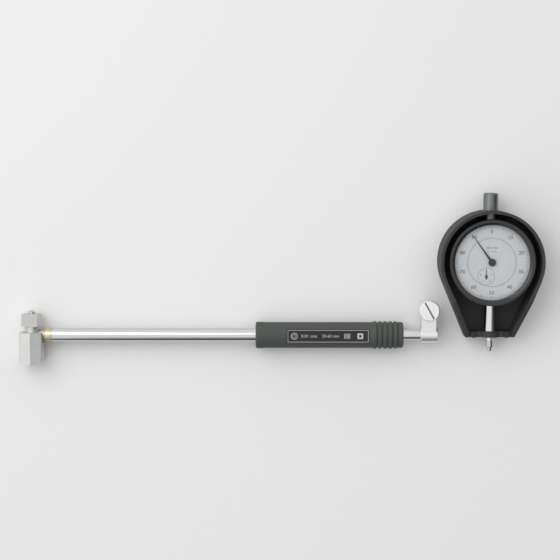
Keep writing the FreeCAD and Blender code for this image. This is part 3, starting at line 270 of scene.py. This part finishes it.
def moulded(name, colour, roughness, pitch, depth, dust, gloss=0.5):
    """Moulded plastic with a fine spark-eroded grain, a little dust and worn tops."""
    finish = Finish(name)
    cycles = 1.0 / pitch
    grain = finish.noise(finish.scaled(cycles, cycles, cycles), 3.0, 0.55)
    patches = finish.blotches(22 * MM)
    tone = finish.mix(patches, shade(colour, 0.9), shade(colour, 1.12))
    worn = finish.node(
        "ShaderNodeMapRange", None, {"Value": grain, "From Min": 0.55, "From Max": 0.75}
    )
    tone = finish.mix(worn * dust, tone, shade(colour, 1.9))
    rough = grain * 0.12 + patches * 0.06 + (roughness - 0.09)
    finish.surface(tone, rough, 0.0, grain, depth, Specular_IOR_Level=gloss)


def painted(name, colour, roughness, speck, second=None):
    """Baked paint or print: almost even, with a faint skin and specks of thinner cover."""
    finish = Finish(name)
    depth = 0.004 * MM
    skin = finish.noise(finish.scaled(2500.0, 2500.0, 2500.0), 2.0, 0.5)
    patches = finish.blotches(9 * MM)
    tone = finish.mix(patches, shade(colour, 0.97), shade(colour, 1.0))
    tone = finish.overlay(finish.mix(skin * speck, tone, shade(colour, 0.8)), second)
    finish.surface(tone, skin * 0.1 + (roughness - 0.05), 0.0, skin, depth)


def clear_cover(name, colour):
    """Clear cover: rays pass straight through, and the gloss grows towards grazing."""
    finish = Finish(name)
    haze = finish.blotches(6 * MM)
    through = finish.node("ShaderNodeBsdfTransparent", None, {"Color": shade(colour, 1.0)})
    gloss = finish.node(
        "ShaderNodeBsdfPrincipled",
        None,
        {
            "Base Color": shade(colour, 1.0),
            "Metallic": 1.0,
            "Roughness": haze * 0.03 + 0.03,
        },
    )
    edge = finish.node("ShaderNodeFresnel", None, {"IOR": 1.3})
    both = finish.node("ShaderNodeMixShader", None, {0: edge, 1: through, 2: gloss})
    finish.node("ShaderNodeOutputMaterial", None, {"Surface": both})


def finishes(tones):
    """Makes every finish of the gauge. Pieces take them by name."""
    around_x = (7000.0, 260.0, 260.0)
    around_y = (260.0, 7000.0, 260.0)
    even = (2600.0, 2600.0, 2600.0)
    lengthwise = (260.0, 5200.0, 5200.0)
    micro = 0.002 * MM
    slot_shade_radius = 6.2 * MM
    slot_shade_depth = 0.3 * MM
    arbor_length = 2.0 * MM
    hub_radius = 2.0 * MM
    dial_axis = middle("crystal")
    screw_axis = middle("clamp_screw")
    screw_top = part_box("clamp_screw")[1].z
    case_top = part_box("dial_case")[1].z

    # Painted shade: below its top and within this radius, the screw head takes the dark case
    # colour, standing in for the shade that falls in the slot.
    def slot(finish):
        below_top = finish.height() < screw_top - slot_shade_depth
        return below_top * (finish.off_axis(screw_axis) < slot_shade_radius)

    def arbor_end(finish):
        return finish.height() > case_top - arbor_length

    def hub(finish):
        return finish.off_axis(dial_axis) < hub_radius

    metal("satin_steel", tones.steel, 0.42, even, micro)
    metal("shoe_steel", tones.steel, 0.46, around_y, micro)
    metal("bright_steel", tones.polished, 0.2, around_y, micro / 2, 0.05)
    metal("satin_chrome", tones.chrome, 0.26, around_x, micro / 2, 0.05)
    metal("bright_alloy", tones.alloy, 0.38, even, micro)
    # The clamp screw's finish, with painted shade in its slot.
    metal("screw_alloy", tones.alloy, 0.36, even, micro, 0.08, (slot, tones.cast))
    metal("dark_nickel", tones.nickel, 0.34, around_y, micro)
    metal("bronze", tones.bronze, 0.3, around_x, micro)
    metal("gear_brass", tones.brass, 0.3, even, micro)
    metal("arbor_brass", tones.brass, 0.3, even, micro, 0.08, (arbor_end, tones.cast))
    metal("case_alloy", tones.cast, 0.5, even, 2 * micro)
    metal("spring_wire", tones.wire, 0.35, lengthwise, micro / 2)
    metal("hard_metal", tones.polished, 0.18, around_y, micro / 3, 0.04)
    moulded("grip_plastic", tones.grip, 0.62, 0.45 * MM, 0.03 * MM, 0.25, 0.25)
    moulded("guard_plastic", tones.guard, 0.56, 0.6 * MM, 0.015 * MM, 0.12, 0.15)
    moulded("bezel_plastic", tones.bezel, 0.3, 1.2 * MM, 0.004 * MM, 0.05, 0.15)
    moulded("cap_plastic", tones.guard, 0.26, 0.9 * MM, 0.006 * MM, 0.08)
    painted("label_black", tones.bezel, 0.3, 0.3)
    painted("dial_white", tones.dial, 0.45, 0.06)
    painted("dial_ink", tones.ink, 0.5, 0.3)
    painted("label_ink", tones.mark, 0.45, 0.3)
    painted("hand_black", tones.ink, 0.35, 0.3, (hub, tones.hub))
    clear_cover("crystal_clear", (0.98, 0.99, 1.0))


# Mesh work


def own_mesh(name, body, mesh, finish, slot):
    """Links a finished mesh as a piece that rides on a body, where one is named."""
    mesh.materials.clear()
    mesh.materials.append(bpy.data.materials[finish])
    piece = bpy.data.objects.new(name, mesh)
    bpy.context.scene.collection.objects.link(piece)
    if body:
        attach(piece, body)
    return piece


def baked(obj):
    """The plain mesh that an object's modifiers give. The object itself goes."""
    graph = bpy.context.evaluated_depsgraph_get()
    mesh = bpy.data.meshes.new_from_object(
        obj.evaluated_get(graph), preserve_all_data_layers=True, depsgraph=graph
    )
    bpy.data.objects.remove(obj)
    return mesh


def soften(node, edge, steps=2):
    """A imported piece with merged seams, smooth rounds and edges rounded by edge metres."""
    mesh = frame["nodes"][node].data.copy()
    work = bmesh.new()
    work.from_mesh(mesh)
    bmesh.ops.remove_doubles(work, verts=work.verts, dist=0.001 * MM)
    bmesh.ops.dissolve_limit(
        work, angle_limit=math.radians(0.4), verts=work.verts, edges=work.edges, delimit={"NORMAL"}
    )
    bmesh.ops.recalc_face_normals(work, faces=work.faces)
    for face in work.faces:
        face.smooth = True
    work.to_mesh(mesh)
    work.free()
    mesh.set_sharp_from_angle(angle=math.radians(32))
    obj = bpy.data.objects.new(node + "_work", mesh)
    bpy.context.scene.collection.objects.link(obj)
    if edge > 0:
        bevel = obj.modifiers.new("edges", "BEVEL")
        bevel.width = edge
        bevel.segments = steps
        bevel.limit_method = "ANGLE"
        bevel.angle_limit = math.radians(32)
        bevel.use_clamp_overlap = True
        bevel.miter_outer = "MITER_ARC"
    level = obj.modifiers.new("shading", "WEIGHTED_NORMAL")
    level.keep_sharp = True
    return baked(obj)


def slot_of(node):
    """The record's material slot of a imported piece."""
    parts = frame["record"]["subparts"]
    return next(part["material_slot"] for part in parts if part["node"] == node)


def dress(node, finish, edge=0.1 * MM, steps=2):
    """Puts a softened, finished piece in the place of a packed one."""
    body = frame["nodes"][node]["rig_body"]
    mesh = soften(node, edge, steps)
    piece = own_mesh(node + "_finished", body, mesh, finish, slot_of(node))
    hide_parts(node)


def springs(joint_name, finish):
    """Springs that a joint works: each is put in the place of its packed piece, riding on the
    packed piece's body when it shortens towards its held end; the copy keeps its packed shape.
    """
    joint = next(j for j in frame["record"]["behaviour"]["joints"] if j["name"] == joint_name)
    along = Vector(joint["axis"])
    travel = max(joint["range_m"])
    for given in joint["deforming_nodes"]:
        node = given["node"]
        packed = frame["nodes"][node]
        held = given["fixed_end_" + given["mode"][-1] + "_m"]
        low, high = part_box(node)
        start, end = low.dot(along), high.dot(along)
        shortens = abs(held - end) < abs(held - start)
        body = packed["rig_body"] if shortens else None
        piece = own_mesh(node + "_finished", body, packed.data.copy(), finish, slot_of(node))
        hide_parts(node)
        fixed = middle(node) + along * (held - middle(node).dot(along))
        if shortens:
            1.0 - travel / (held - start)
            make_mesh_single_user(piece)
        else:
            moving = fixed + along * (end - held)
            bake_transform(piece)


def coat(nodes, finish):
    """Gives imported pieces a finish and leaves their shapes."""
    for node in nodes:
        for held in frame["nodes"][node].material_slots:
            held.material = bpy.data.materials[finish]


def middle(node):
    """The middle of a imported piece's box."""
    low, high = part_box(node)
    return (low + high) / 2


def lettering(words, size, place, thickness):
    """Upright words, centred on a place, as a mesh that lies flat."""
    curve = bpy.data.curves.new("words", "FONT")
    curve.body = words
    curve.size = size
    curve.extrude = thickness / 2
    curve.resolution_u = 3
    curve.align_x = "CENTER"
    curve.align_y = "CENTER"
    obj = bpy.data.objects.new("words", curve)
    bpy.context.scene.collection.objects.link(obj)
    mesh = baked(obj)
    mesh.transform(Matrix.Translation(place))
    return mesh


def round_figures(centre, reach, tenths, factor, size, thickness):
    """Upright figures around a centre, each at its tenth of a turn."""
    meshes = []
    for n in tenths:
        angle = math.radians(36 * n)
        spot = centre + Vector((reach * math.sin(angle), reach * math.cos(angle), 0))
        meshes.append(lettering(str(factor * n), size, spot, thickness))
    return meshes


def joined(name, meshes):
    """Several meshes as one."""
    work = bmesh.new()
    for mesh in meshes:
        work.from_mesh(mesh)
    whole = bpy.data.meshes.new(name)
    work.to_mesh(whole)
    work.free()
    return whole


def outline(low, high, width, thickness, level):
    """A thin flat frame between two corners."""
    work = bmesh.new()
    rings = []
    for inset, height in ((0, 0), (0, 1), (width, 1), (width, 0)):
        z = level + (height - 0.5) * thickness
        corners = (
            (low.x + inset, low.y + inset, z),
            (high.x - inset, low.y + inset, z),
            (high.x - inset, high.y - inset, z),
            (low.x + inset, high.y - inset, z),
        )
        rings.append([work.verts.new(corner) for corner in corners])
    for near, far in zip(rings, rings[1:] + rings[:1]):
        for n in range(4):
            work.faces.new((near[n], near[(n + 1) % 4], far[(n + 1) % 4], far[n]))
    bmesh.ops.recalc_face_normals(work, faces=work.faces)
    mesh = bpy.data.meshes.new("outline")
    work.to_mesh(mesh)
    work.free()
    return mesh


def circle_line(centre, radius, width, thickness, steps=96):
    """A thin flat ring around a centre."""
    work = bmesh.new()
    rings = []
    for shift, height in ((-0.5, -0.5), (-0.5, 0.5), (0.5, 0.5), (0.5, -0.5)):
        reach = radius + shift * width
        ring = []
        for n in range(steps):
            angle = 2 * math.pi * n / steps
            offset = Vector((reach * math.cos(angle), reach * math.sin(angle), height * thickness))
            ring.append(work.verts.new(centre + offset))
        rings.append(ring)
    for near, far in zip(rings, rings[1:] + rings[:1]):
        for n in range(steps):
            work.faces.new((near[n], near[(n + 1) % steps], far[(n + 1) % steps], far[n]))
    bmesh.ops.recalc_face_normals(work, faces=work.faces)
    mesh = bpy.data.meshes.new("circle_line")
    work.to_mesh(mesh)
    work.free()
    return mesh


# Marks that repeat


def marks_tree():
    """Marks around a circle, with every few of them longer. Their outer ends lie on the circle."""
    group = bpy.data.node_groups.new("round_marks", "GeometryNodeTree")
    for name, kind in (
        ("Centre", "NodeSocketVector"),
        ("Radius", "NodeSocketFloat"),
        ("Count", "NodeSocketInt"),
        ("Every", "NodeSocketInt"),
        ("Length", "NodeSocketFloat"),
        ("Long Length", "NodeSocketFloat"),
        ("Width", "NodeSocketFloat"),
        ("Thickness", "NodeSocketFloat"),
        ("Finish", "NodeSocketMaterial"),
    ):
        group.interface.new_socket(name, in_out="INPUT", socket_type=kind)
    group.interface.new_socket("Geometry", in_out="OUTPUT", socket_type="NodeSocketGeometry")
    tree = Tree(group)
    given = group.nodes.new("NodeGroupInput")

    def value(name):
        return Term(tree, given.outputs[name])

    index = tree.node("GeometryNodeInputIndex")
    angle = index * (2 * math.pi) / value("Count")
    is_long = (index % value("Every")) < 0.5
    length = value("Length") + is_long * (value("Long Length") - value("Length"))
    reach = value("Radius") - length * 0.5
    spot = tree.node(
        "ShaderNodeCombineXYZ", None, {0: angle.sine() * reach, 1: angle.cosine() * reach}
    )
    points = tree.node("GeometryNodePoints", None, {"Count": value("Count"), "Position": spot})
    size = tree.node(
        "ShaderNodeCombineXYZ", None, {0: value("Width"), 1: value("Length"), 2: value("Thickness")}
    )
    mark = tree.node("GeometryNodeMeshCube", None, {"Size": size})
    turn = tree.node("ShaderNodeCombineXYZ", None, {2: angle * -1.0})
    turn = tree.node("FunctionNodeEulerToRotation", None, {0: turn})
    stretch = tree.node(
        "ShaderNodeCombineXYZ", None, {0: 1.0, 1: length / value("Length"), 2: 1.0}
    )
    placed = tree.node(
        "GeometryNodeInstanceOnPoints",
        None,
        {"Points": points, "Instance": mark, "Rotation": turn, "Scale": stretch},
    )
    moved = tree.node(
        "GeometryNodeTransform", None, {"Geometry": placed, "Translation": value("Centre")}
    )
    solid = tree.node("GeometryNodeRealizeInstances", None, {"Geometry": moved})
    inked = tree.node(
        "GeometryNodeSetMaterial", None, {"Geometry": solid, "Material": value("Finish")}
    )
    tree.node("NodeGroupOutput", None, {"Geometry": inked})
    return group


def round_marks(group, **sizes):
    """The marks as a plain mesh."""
    obj = bpy.data.objects.new("marks", bpy.data.meshes.new("marks"))
    bpy.context.scene.collection.objects.link(obj)
    modifier = obj.modifiers.new("marks", "NODES")
    modifier.node_group = group
    for item in group.interface.items_tree:
        if item.in_out == "INPUT":
            modifier[item.identifier] = sizes[item.name.lower().replace(" ", "_")]
    return baked(obj)


# Settings


def tone(name, words, colour):
    """A colour setting."""
    return bpy.props.FloatVectorProperty(
        name=name, description=words, subtype="COLOR", size=3, min=0.0, max=1.0, default=colour
    )


def length(name, words, size):
    """A length setting."""
    return bpy.props.FloatProperty(
        name=name, description=words, subtype="DISTANCE", unit="LENGTH", min=0.0, default=size
    )


class GaugeTones(bpy.types.PropertyGroup):
    """Colours of the finishes."""

    steel: tone("Steel", "Head, shoe and nut", (0.68, 0.68, 0.665))
    polished: tone("Polished steel", "Stem, spindle and anvil", (0.78, 0.78, 0.77))
    chrome: tone("Chrome", "Tube", (0.74, 0.745, 0.75))
    alloy: tone("Alloy", "Clamp and clamp screw", (0.93, 0.93, 0.92))
    bronze: tone("Bronze", "Ring behind the head", (0.86, 0.74, 0.62))
    brass: tone("Brass", "Gears", (0.75, 0.57, 0.27))
    # The case colour is also the painted shade in the clamp screw's slot.
    cast: tone("Cast case", "Case of the indicator", (0.16, 0.16, 0.165))
    wire: tone("Spring wire", "Springs", (0.45, 0.46, 0.48))
    grip: tone("Grip", "Moulded grip", (0.016, 0.02, 0.02))
    guard: tone("Guard", "Guard and strap", (0.011, 0.01, 0.01))
    nickel: tone("Dark nickel", "Spindle cap", (0.2, 0.215, 0.215))
    hub: tone("Hub", "Top of the main hand's hub", (0.85, 0.85, 0.84))
    bezel: tone("Bezel", "Turning bezel and label", (0.004, 0.004, 0.0045))
    dial: tone("Dial", "Dial face", (0.80, 0.795, 0.79))
    ink: tone("Ink", "Marks and hands", (0.02, 0.02, 0.022))
    mark: tone("Label marks", "Marks on the label", (0.50, 0.51, 0.50))


class GaugePrint(bpy.types.PropertyGroup):
    """Sizes of what is printed."""

    divisions: bpy.props.IntProperty(
        name="Divisions", description="Marks on the turning scale", min=10, default=100
    )
    mark: length("Mark", "Length of a short mark", 1.5 * MM)
    long_mark: length("Long mark", "Length of a long mark", 2.4 * MM)
    line: length("Line", "Width of a mark", 0.17 * MM)
    ink: length("Ink", "Thickness of the ink", 0.03 * MM)
    figure: length("Figure", "Height of the scale figures", 3.5 * MM)
    figure_reach: length("Figure reach", "Figures from the dial centre", 20.2 * MM)
    small_reach: length("Small dial", "Radius of the counter dial", 5.6 * MM)
    small_figure: length("Small figure", "Height of the counter figures", 1.5 * MM)


class GaugeStudio(bpy.types.PropertyGroup):
    """Camera, lamps and floor."""

    camera_right: length("Camera right", "Camera right of the gauge's middle", 6 * MM)
    camera_up: length("Camera up", "Camera towards the anvil side of the middle", 84 * MM)
    camera_height: length("Camera height", "Camera above the middle", 1000 * MM)
    view: length("View", "Width that the camera takes in at the gauge", 372 * MM)
    key: bpy.props.FloatProperty(
        name="Key", description="Power of the key lamp", unit="POWER", min=0.0, default=4.5
    )
    floor: tone("Floor", "Floor and backdrop", (0.82, 0.82, 0.82))
    sky: bpy.props.FloatProperty(
        name="Sky", description="Level of the room around", min=0.0, default=0.95
    )
    dim: bpy.props.FloatProperty(
        name="Dim side", description="Level of the room's dim side", min=0.0, default=0.1
    )


# Pieces


class GaugePiece:
    """What every piece operator of the gauge shares."""

    bl_options = {"REGISTER", "UNDO"}

    def execute(self, context):
        self.make(context.scene.gauge_tones, context.scene.gauge_print)
        return {"FINISHED"}


class GAUGE_OT_finishes(GaugePiece, bpy.types.Operator):
    """Makes the finishes"""

    bl_idname = "gauge.finishes"
    bl_label = "Finishes"

    def make(self, tones, sizes):
        finishes(tones)


class GAUGE_OT_head(GaugePiece, bpy.types.Operator):
    """Measuring head: body, guide shoe, contact and anvil"""

    bl_idname = "gauge.head"
    bl_label = "Measuring head"

    def make(self, tones, sizes):
        dress("head_body", "satin_steel", 0.12 * MM)
        dress("guide_shoe", "shoe_steel", 0.2 * MM)
        dress("anvil_nut", "satin_steel", 0.12 * MM)
        dress("anvil_washer", "bright_steel", 0.05 * MM)
        dress("anvil", "hard_metal", 0.08 * MM)
        dress("contact_plunger", "bright_steel", 0.06 * MM)
        dress("contact_tip", "hard_metal", 0)
        coat(("guide_pin", "crank_pin", "bell_crank"), "bright_steel")
        springs("shoe_slide", "spring_wire")


class GAUGE_OT_tube(GaugePiece, bpy.types.Operator):
    """Long tube, its ring, its bush pin and the push rod inside"""

    bl_idname = "gauge.tube"
    bl_label = "Tube"

    def make(self, tones, sizes):
        dress("head_collar", "bronze", 0.12 * MM)
        dress("stem_tube", "satin_chrome", 0.1 * MM)
        dress("bush_pin", "bright_steel", 0.1 * MM)
        dress("neck_tube", "satin_chrome", 0.1 * MM)
        coat(("tube_bush", "neck_bush"), "gear_brass")
        coat(("push_rod", "rod_tip", "rod_collar"), "bright_steel")
        springs("rod_slide", "spring_wire")
        coat(("handle_core",), "case_alloy")


class GAUGE_OT_grip(GaugePiece, bpy.types.Operator):
    """Moulded grip with its label"""

    bl_idname = "gauge.grip"
    bl_label = "Grip"

    def make(self, tones, sizes):
        dress("grip_sleeve", "grip_plastic", 0.15 * MM)
        dress("label_plate", "label_black", 0.08 * MM)
        low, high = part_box("label_plate")
        level = high.z + sizes.ink / 4
        inset = 0.55 * MM
        border = 0.3 * MM
        edge = Vector((inset, inset, 0))
        width = high.x - low.x
        centre = middle("label_plate")
        meshes = [outline(low + edge, high - edge, border, sizes.ink, level)]
        for words, size, across in (("0.01 mm", 3.0 * MM, 0.27), ("35-60 mm", 2.8 * MM, 0.53)):
            spot = Vector((low.x + across * width, centre.y, level))
            meshes.append(lettering(words, size, spot, sizes.ink))
        bars, bar_start, bar_pitch, bar_line = 5, 0.7, 0.016, 0.2 * MM
        half = Vector((0.22 * MM, 1.7 * MM, 0))
        for n in range(bars):
            bar = Vector((low.x + (bar_start + bar_pitch * n) * width, centre.y, 0))
            meshes.append(outline(bar - half, bar + half, bar_line, sizes.ink, level))
        ring_place, square_place = 0.09, 0.89
        ring = Vector((low.x + ring_place * width, centre.y, level))
        meshes.append(circle_line(ring, 2.1 * MM, 0.4 * MM, sizes.ink, 40))
        meshes.append(circle_line(ring, 1.1 * MM, 0.3 * MM, sizes.ink, 32))
        square = Vector((low.x + square_place * width, centre.y, 0))
        half = Vector((1.9 * MM, 1.9 * MM, 0))
        meshes.append(outline(square - half, square + half, 1.1 * MM, sizes.ink, level))
        own_mesh("label_print", "frame", joined("label_print", meshes), "label_ink", "label")


class GAUGE_OT_clamp(GaugePiece, bpy.types.Operator):
    """Split clamp that holds the indicator, and its knurled screw"""

    bl_idname = "gauge.clamp"
    bl_label = "Clamp"

    def make(self, tones, sizes):
        dress("stem_clamp", "bright_alloy", 0.15 * MM)
        # The screw's finish carries painted shade in its slot.
        dress("clamp_screw", "screw_alloy", 0.08 * MM)


class GAUGE_OT_guard(GaugePiece, bpy.types.Operator):
    """Black guard around the indicator, with its strap"""

    bl_idname = "gauge.guard"
    bl_label = "Guard"

    def make(self, tones, sizes):
        dress("guard_shell", "guard_plastic", 0.6 * MM, 3)
        dress("guard_strap", "guard_plastic", 0.25 * MM)
        for screw in ("strap_screw_1", "strap_screw_2"):
            dress(screw, "cap_plastic", 0.06 * MM)


class GAUGE_OT_indicator(GaugePiece, bpy.types.Operator):
    """Indicator case, bezel, stem, spindle and cap"""

    bl_idname = "gauge.indicator"
    bl_label = "Indicator"

    def make(self, tones, sizes):
        dress("dial_case", "case_alloy", 0.12 * MM)
        dress("back_cover", "bright_alloy", 0.12 * MM)
        dress("bezel", "bezel_plastic", 0.12 * MM)
        dress("spindle_cap", "dark_nickel", 0.2 * MM)
        dress("stem", "bright_steel", 0.12 * MM)
        dress("spindle", "bright_steel", 0.05 * MM)
        dress("contact_point", "hard_metal", 0.08 * MM)


class GAUGE_OT_movement(GaugePiece, bpy.types.Operator):
    """Gears, springs and plates inside the case"""

    bl_idname = "gauge.movement"
    bl_label = "Movement"

    def make(self, tones, sizes):
        coat(("counter_gear",), "arbor_brass")
        coat(("takeup_gear",), "gear_brass")
        coat(("centre_pinion", "spindle_pin", "guide_rail", "spring_post"), "bright_steel")
        coat(("movement_plate", "pinion_bridge"), "gear_brass")
        coat(("hairspring",), "spring_wire")
        springs("spindle_slide", "spring_wire")


class GAUGE_OT_dial(GaugePiece, bpy.types.Operator):
    """Turning scale, fixed disc with the counter dial, and the hands"""

    bl_idname = "gauge.dial"
    bl_label = "Dial"

    def make(self, tones, sizes):
        dress("scale_ring", "dial_white", 0)
        dress("dial_plate", "dial_white", 0)
        dress("main_hand", "hand_black", 0.05 * MM)
        dress("counter_hand", "hand_black", 0.03 * MM)
        group = marks_tree()
        ring_low, ring_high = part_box("scale_ring")
        centre = middle("scale_ring")
        centre.z = ring_high.z + sizes.ink / 4
        ink = bpy.data.materials["dial_ink"]
        radius = (ring_high.x - ring_low.x) / 2
        rim_gap = 0.35 * MM
        fine_line = 0.12 * MM
        disc_line = 0.08 * MM
        meshes = [
            round_marks(
                group, centre=centre, radius=radius - rim_gap, count=sizes.divisions, every=5,
                length=sizes.mark, long_length=sizes.long_mark, width=sizes.line,
                thickness=sizes.ink, finish=ink,
            )
        ]
        meshes += round_figures(centre, sizes.figure_reach, range(10), 10, sizes.figure, sizes.ink)
        whole = joined("scale_print", meshes)
        own_mesh("scale_print", "bezel_body", whole, "dial_ink", "dial_face")

        disc_low, disc_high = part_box("dial_plate")
        disc_radius = (disc_high.x - disc_low.x) / 2
        level = disc_high.z + sizes.ink / 4
        small = middle("counter_gear")
        small.z = level
        dial_middle = Vector((centre.x, centre.y, level))
        meshes = [
            circle_line(dial_middle, disc_radius - 0.25 * MM, disc_line, sizes.ink),
            circle_line(small, sizes.small_reach, fine_line, sizes.ink, 64),
            round_marks(
                group, centre=small, radius=sizes.small_reach, count=10, every=5, length=0.7 * MM,
                long_length=1.1 * MM, width=0.14 * MM, thickness=sizes.ink, finish=ink,
            ),
        ]
        reach = sizes.small_reach - 1.75 * MM
        meshes += round_figures(small, reach, range(0, 10, 2), 1, sizes.small_figure, sizes.ink)
        for words, size, up in (("0.01 mm", 2.1 * MM, 9.6 * MM), ("0 - 10 mm", 1.4 * MM, 7.2 * MM)):
            meshes.append(lettering(words, size, dial_middle + Vector((0, up, 0)), sizes.ink))
        own_mesh("disc_print", "frame", joined("disc_print", meshes), "dial_ink", "dial_face")


class GAUGE_OT_crystal(GaugePiece, bpy.types.Operator):
    """Clear cover of the dial"""

    bl_idname = "gauge.crystal"
    bl_label = "Crystal"

    def make(self, tones, sizes):
        dress("crystal", "crystal_clear", 0.1 * MM)


class GAUGE_OT_stage(bpy.types.Operator):
    """Floor, lamps and camera"""

    bl_idname = "gauge.stage"
    bl_label = "Studio"

    def execute(self, context):
        studio = context.scene.gauge_studio
        low, high = (Vector(corner) for corner in cad_box)
        centre = (low + high) / 2
        self.floor(studio, centre, low.z)
        self.room(context.scene, studio)
        self.lamp("key_lamp", centre, Vector((-0.55, 0.5, 0.85)), 0.9, studio.key)
        self.camera(context.scene, studio, centre)
        context.scene.view_settings.view_transform = "Standard"
        return {"FINISHED"}

    def floor(self, studio, centre, level):
        """A pale floor that fades into the room."""
        finish = Finish("pale_floor")
        skin = finish.noise(finish.scaled(400.0, 400.0, 400.0), 2.0, 0.5)
        colour = finish.mix(skin, shade(studio.floor, 0.985), shade(studio.floor, 1.0))
        finish.surface(colour, skin * 0.1 + 0.6, 0.0, Specular_IOR_Level=0.2)
        work = bmesh.new()
        bmesh.ops.create_circle(work, cap_ends=True, segments=96, radius=4.0)
        mesh = bpy.data.meshes.new("floor")
        work.to_mesh(mesh)
        work.free()
        mesh.transform(Matrix.Translation((centre.x, centre.y, level)))
        mesh.materials.append(finish.material)
        floor = bpy.data.objects.new("floor", mesh)
        bpy.context.scene.collection.objects.link(floor)

    def room(self, scene, studio):
        """Light from above and from the far left, dim on the near right, white to the camera."""
        world = bpy.data.worlds.new("room")
        world.use_nodes = True
        world.node_tree.nodes.clear()
        tree = Tree(world.node_tree)
        path = world.node_tree.nodes.new("ShaderNodeLightPath")
        seen = Term(tree, path.outputs["Is Camera Ray"])
        towards = tree.node("ShaderNodeTexCoord")
        dim_side = (0.7, -0.7, 0.0)
        aside = tree.node(
            "ShaderNodeVectorMath", {"operation": "DOT_PRODUCT"}, {0: towards, 1: dim_side}, 1
        )
        sky = tree.node(
            "ShaderNodeMapRange",
            {"interpolation_type": "SMOOTHSTEP"},
            {
                "Value": aside,
                "From Min": 0.28,
                "From Max": 0.62,
                "To Min": studio.sky,
                "To Max": studio.dim,
            },
        )
        level = seen * (1.0 - sky) + sky
        light = tree.node(
            "ShaderNodeBackground", None, {"Color": (1.0, 1.0, 1.0, 1.0), "Strength": level}
        )
        tree.node("ShaderNodeOutputWorld", None, {"Surface": light})
        scene.world = world

    def lamp(self, name, centre, offset, size, power):
        """A soft square lamp that faces the gauge."""
        light = bpy.data.lights.new(name, "AREA")
        light.shape = "SQUARE"
        light.size = size
        light.energy = power
        lamp = bpy.data.objects.new(name, light)
        lamp.matrix_world = Matrix.Translation(centre + offset) @ (
            offset.to_track_quat("Z", "Y").to_matrix().to_4x4()
        )
        bpy.context.scene.collection.objects.link(lamp)

    def camera(self, scene, studio, centre):
        """A camera almost straight above the gauge, with the anvil side up."""
        offset = Vector((studio.camera_right, studio.camera_up, studio.camera_height))
        back = offset.normalized()
        right = Vector((1, 0, 0))
        right = (right - back * right.dot(back)).normalized()
        up = back.cross(right)
        lens = bpy.data.cameras.new("camera")
        lens.sensor_width = 36.0
        lens.lens = lens.sensor_width * offset.length / studio.view
        camera = bpy.data.objects.new("camera", lens)
        turn = Matrix((right, up, back)).transposed().to_4x4()
        camera.matrix_world = Matrix.Translation(centre + offset) @ turn
        scene.collection.objects.link(camera)
        scene.camera = camera


OPERATORS = (
    GAUGE_OT_finishes,
    GAUGE_OT_head,
    GAUGE_OT_tube,
    GAUGE_OT_grip,
    GAUGE_OT_clamp,
    GAUGE_OT_guard,
    GAUGE_OT_indicator,
    GAUGE_OT_movement,
    GAUGE_OT_dial,
    GAUGE_OT_crystal,
    GAUGE_OT_stage,
)


class GAUGE_PT_panel(bpy.types.Panel):
    """Lists the gauge's pieces and settings"""

    bl_label = "Bore Gauge"
    bl_idname = "GAUGE_PT_panel"
    bl_space_type = "VIEW_3D"
    bl_region_type = "UI"
    bl_category = "Bore Gauge"

    def draw(self, context):
        for operator in OPERATORS:
            self.layout.operator(operator.bl_idname)
        scene = context.scene
        for settings in (scene.gauge_tones, scene.gauge_print, scene.gauge_studio):
            box = self.layout.box()
            for name in settings.bl_rna.properties.keys():
                if name not in ("rna_type", "name"):
                    box.prop(settings, name)


CLASSES = (GaugeTones, GaugePrint, GaugeStudio) + OPERATORS + (GAUGE_PT_panel,)


def register():
    for kind in CLASSES:
        bpy.utils.register_class(kind)
    bpy.types.Scene.gauge_tones = bpy.props.PointerProperty(type=GaugeTones)
    bpy.types.Scene.gauge_print = bpy.props.PointerProperty(type=GaugePrint)
    bpy.types.Scene.gauge_studio = bpy.props.PointerProperty(type=GaugeStudio)


def unregister():
    del bpy.types.Scene.gauge_studio
    del bpy.types.Scene.gauge_print
    del bpy.types.Scene.gauge_tones
    for kind in reversed(CLASSES):
        bpy.utils.unregister_class(kind)


def main():
    register()
    for operator in OPERATORS:
        group, name = operator.bl_idname.split(".")
        getattr(getattr(bpy.ops, group), name)()


if __name__ == "__main__":
    main()
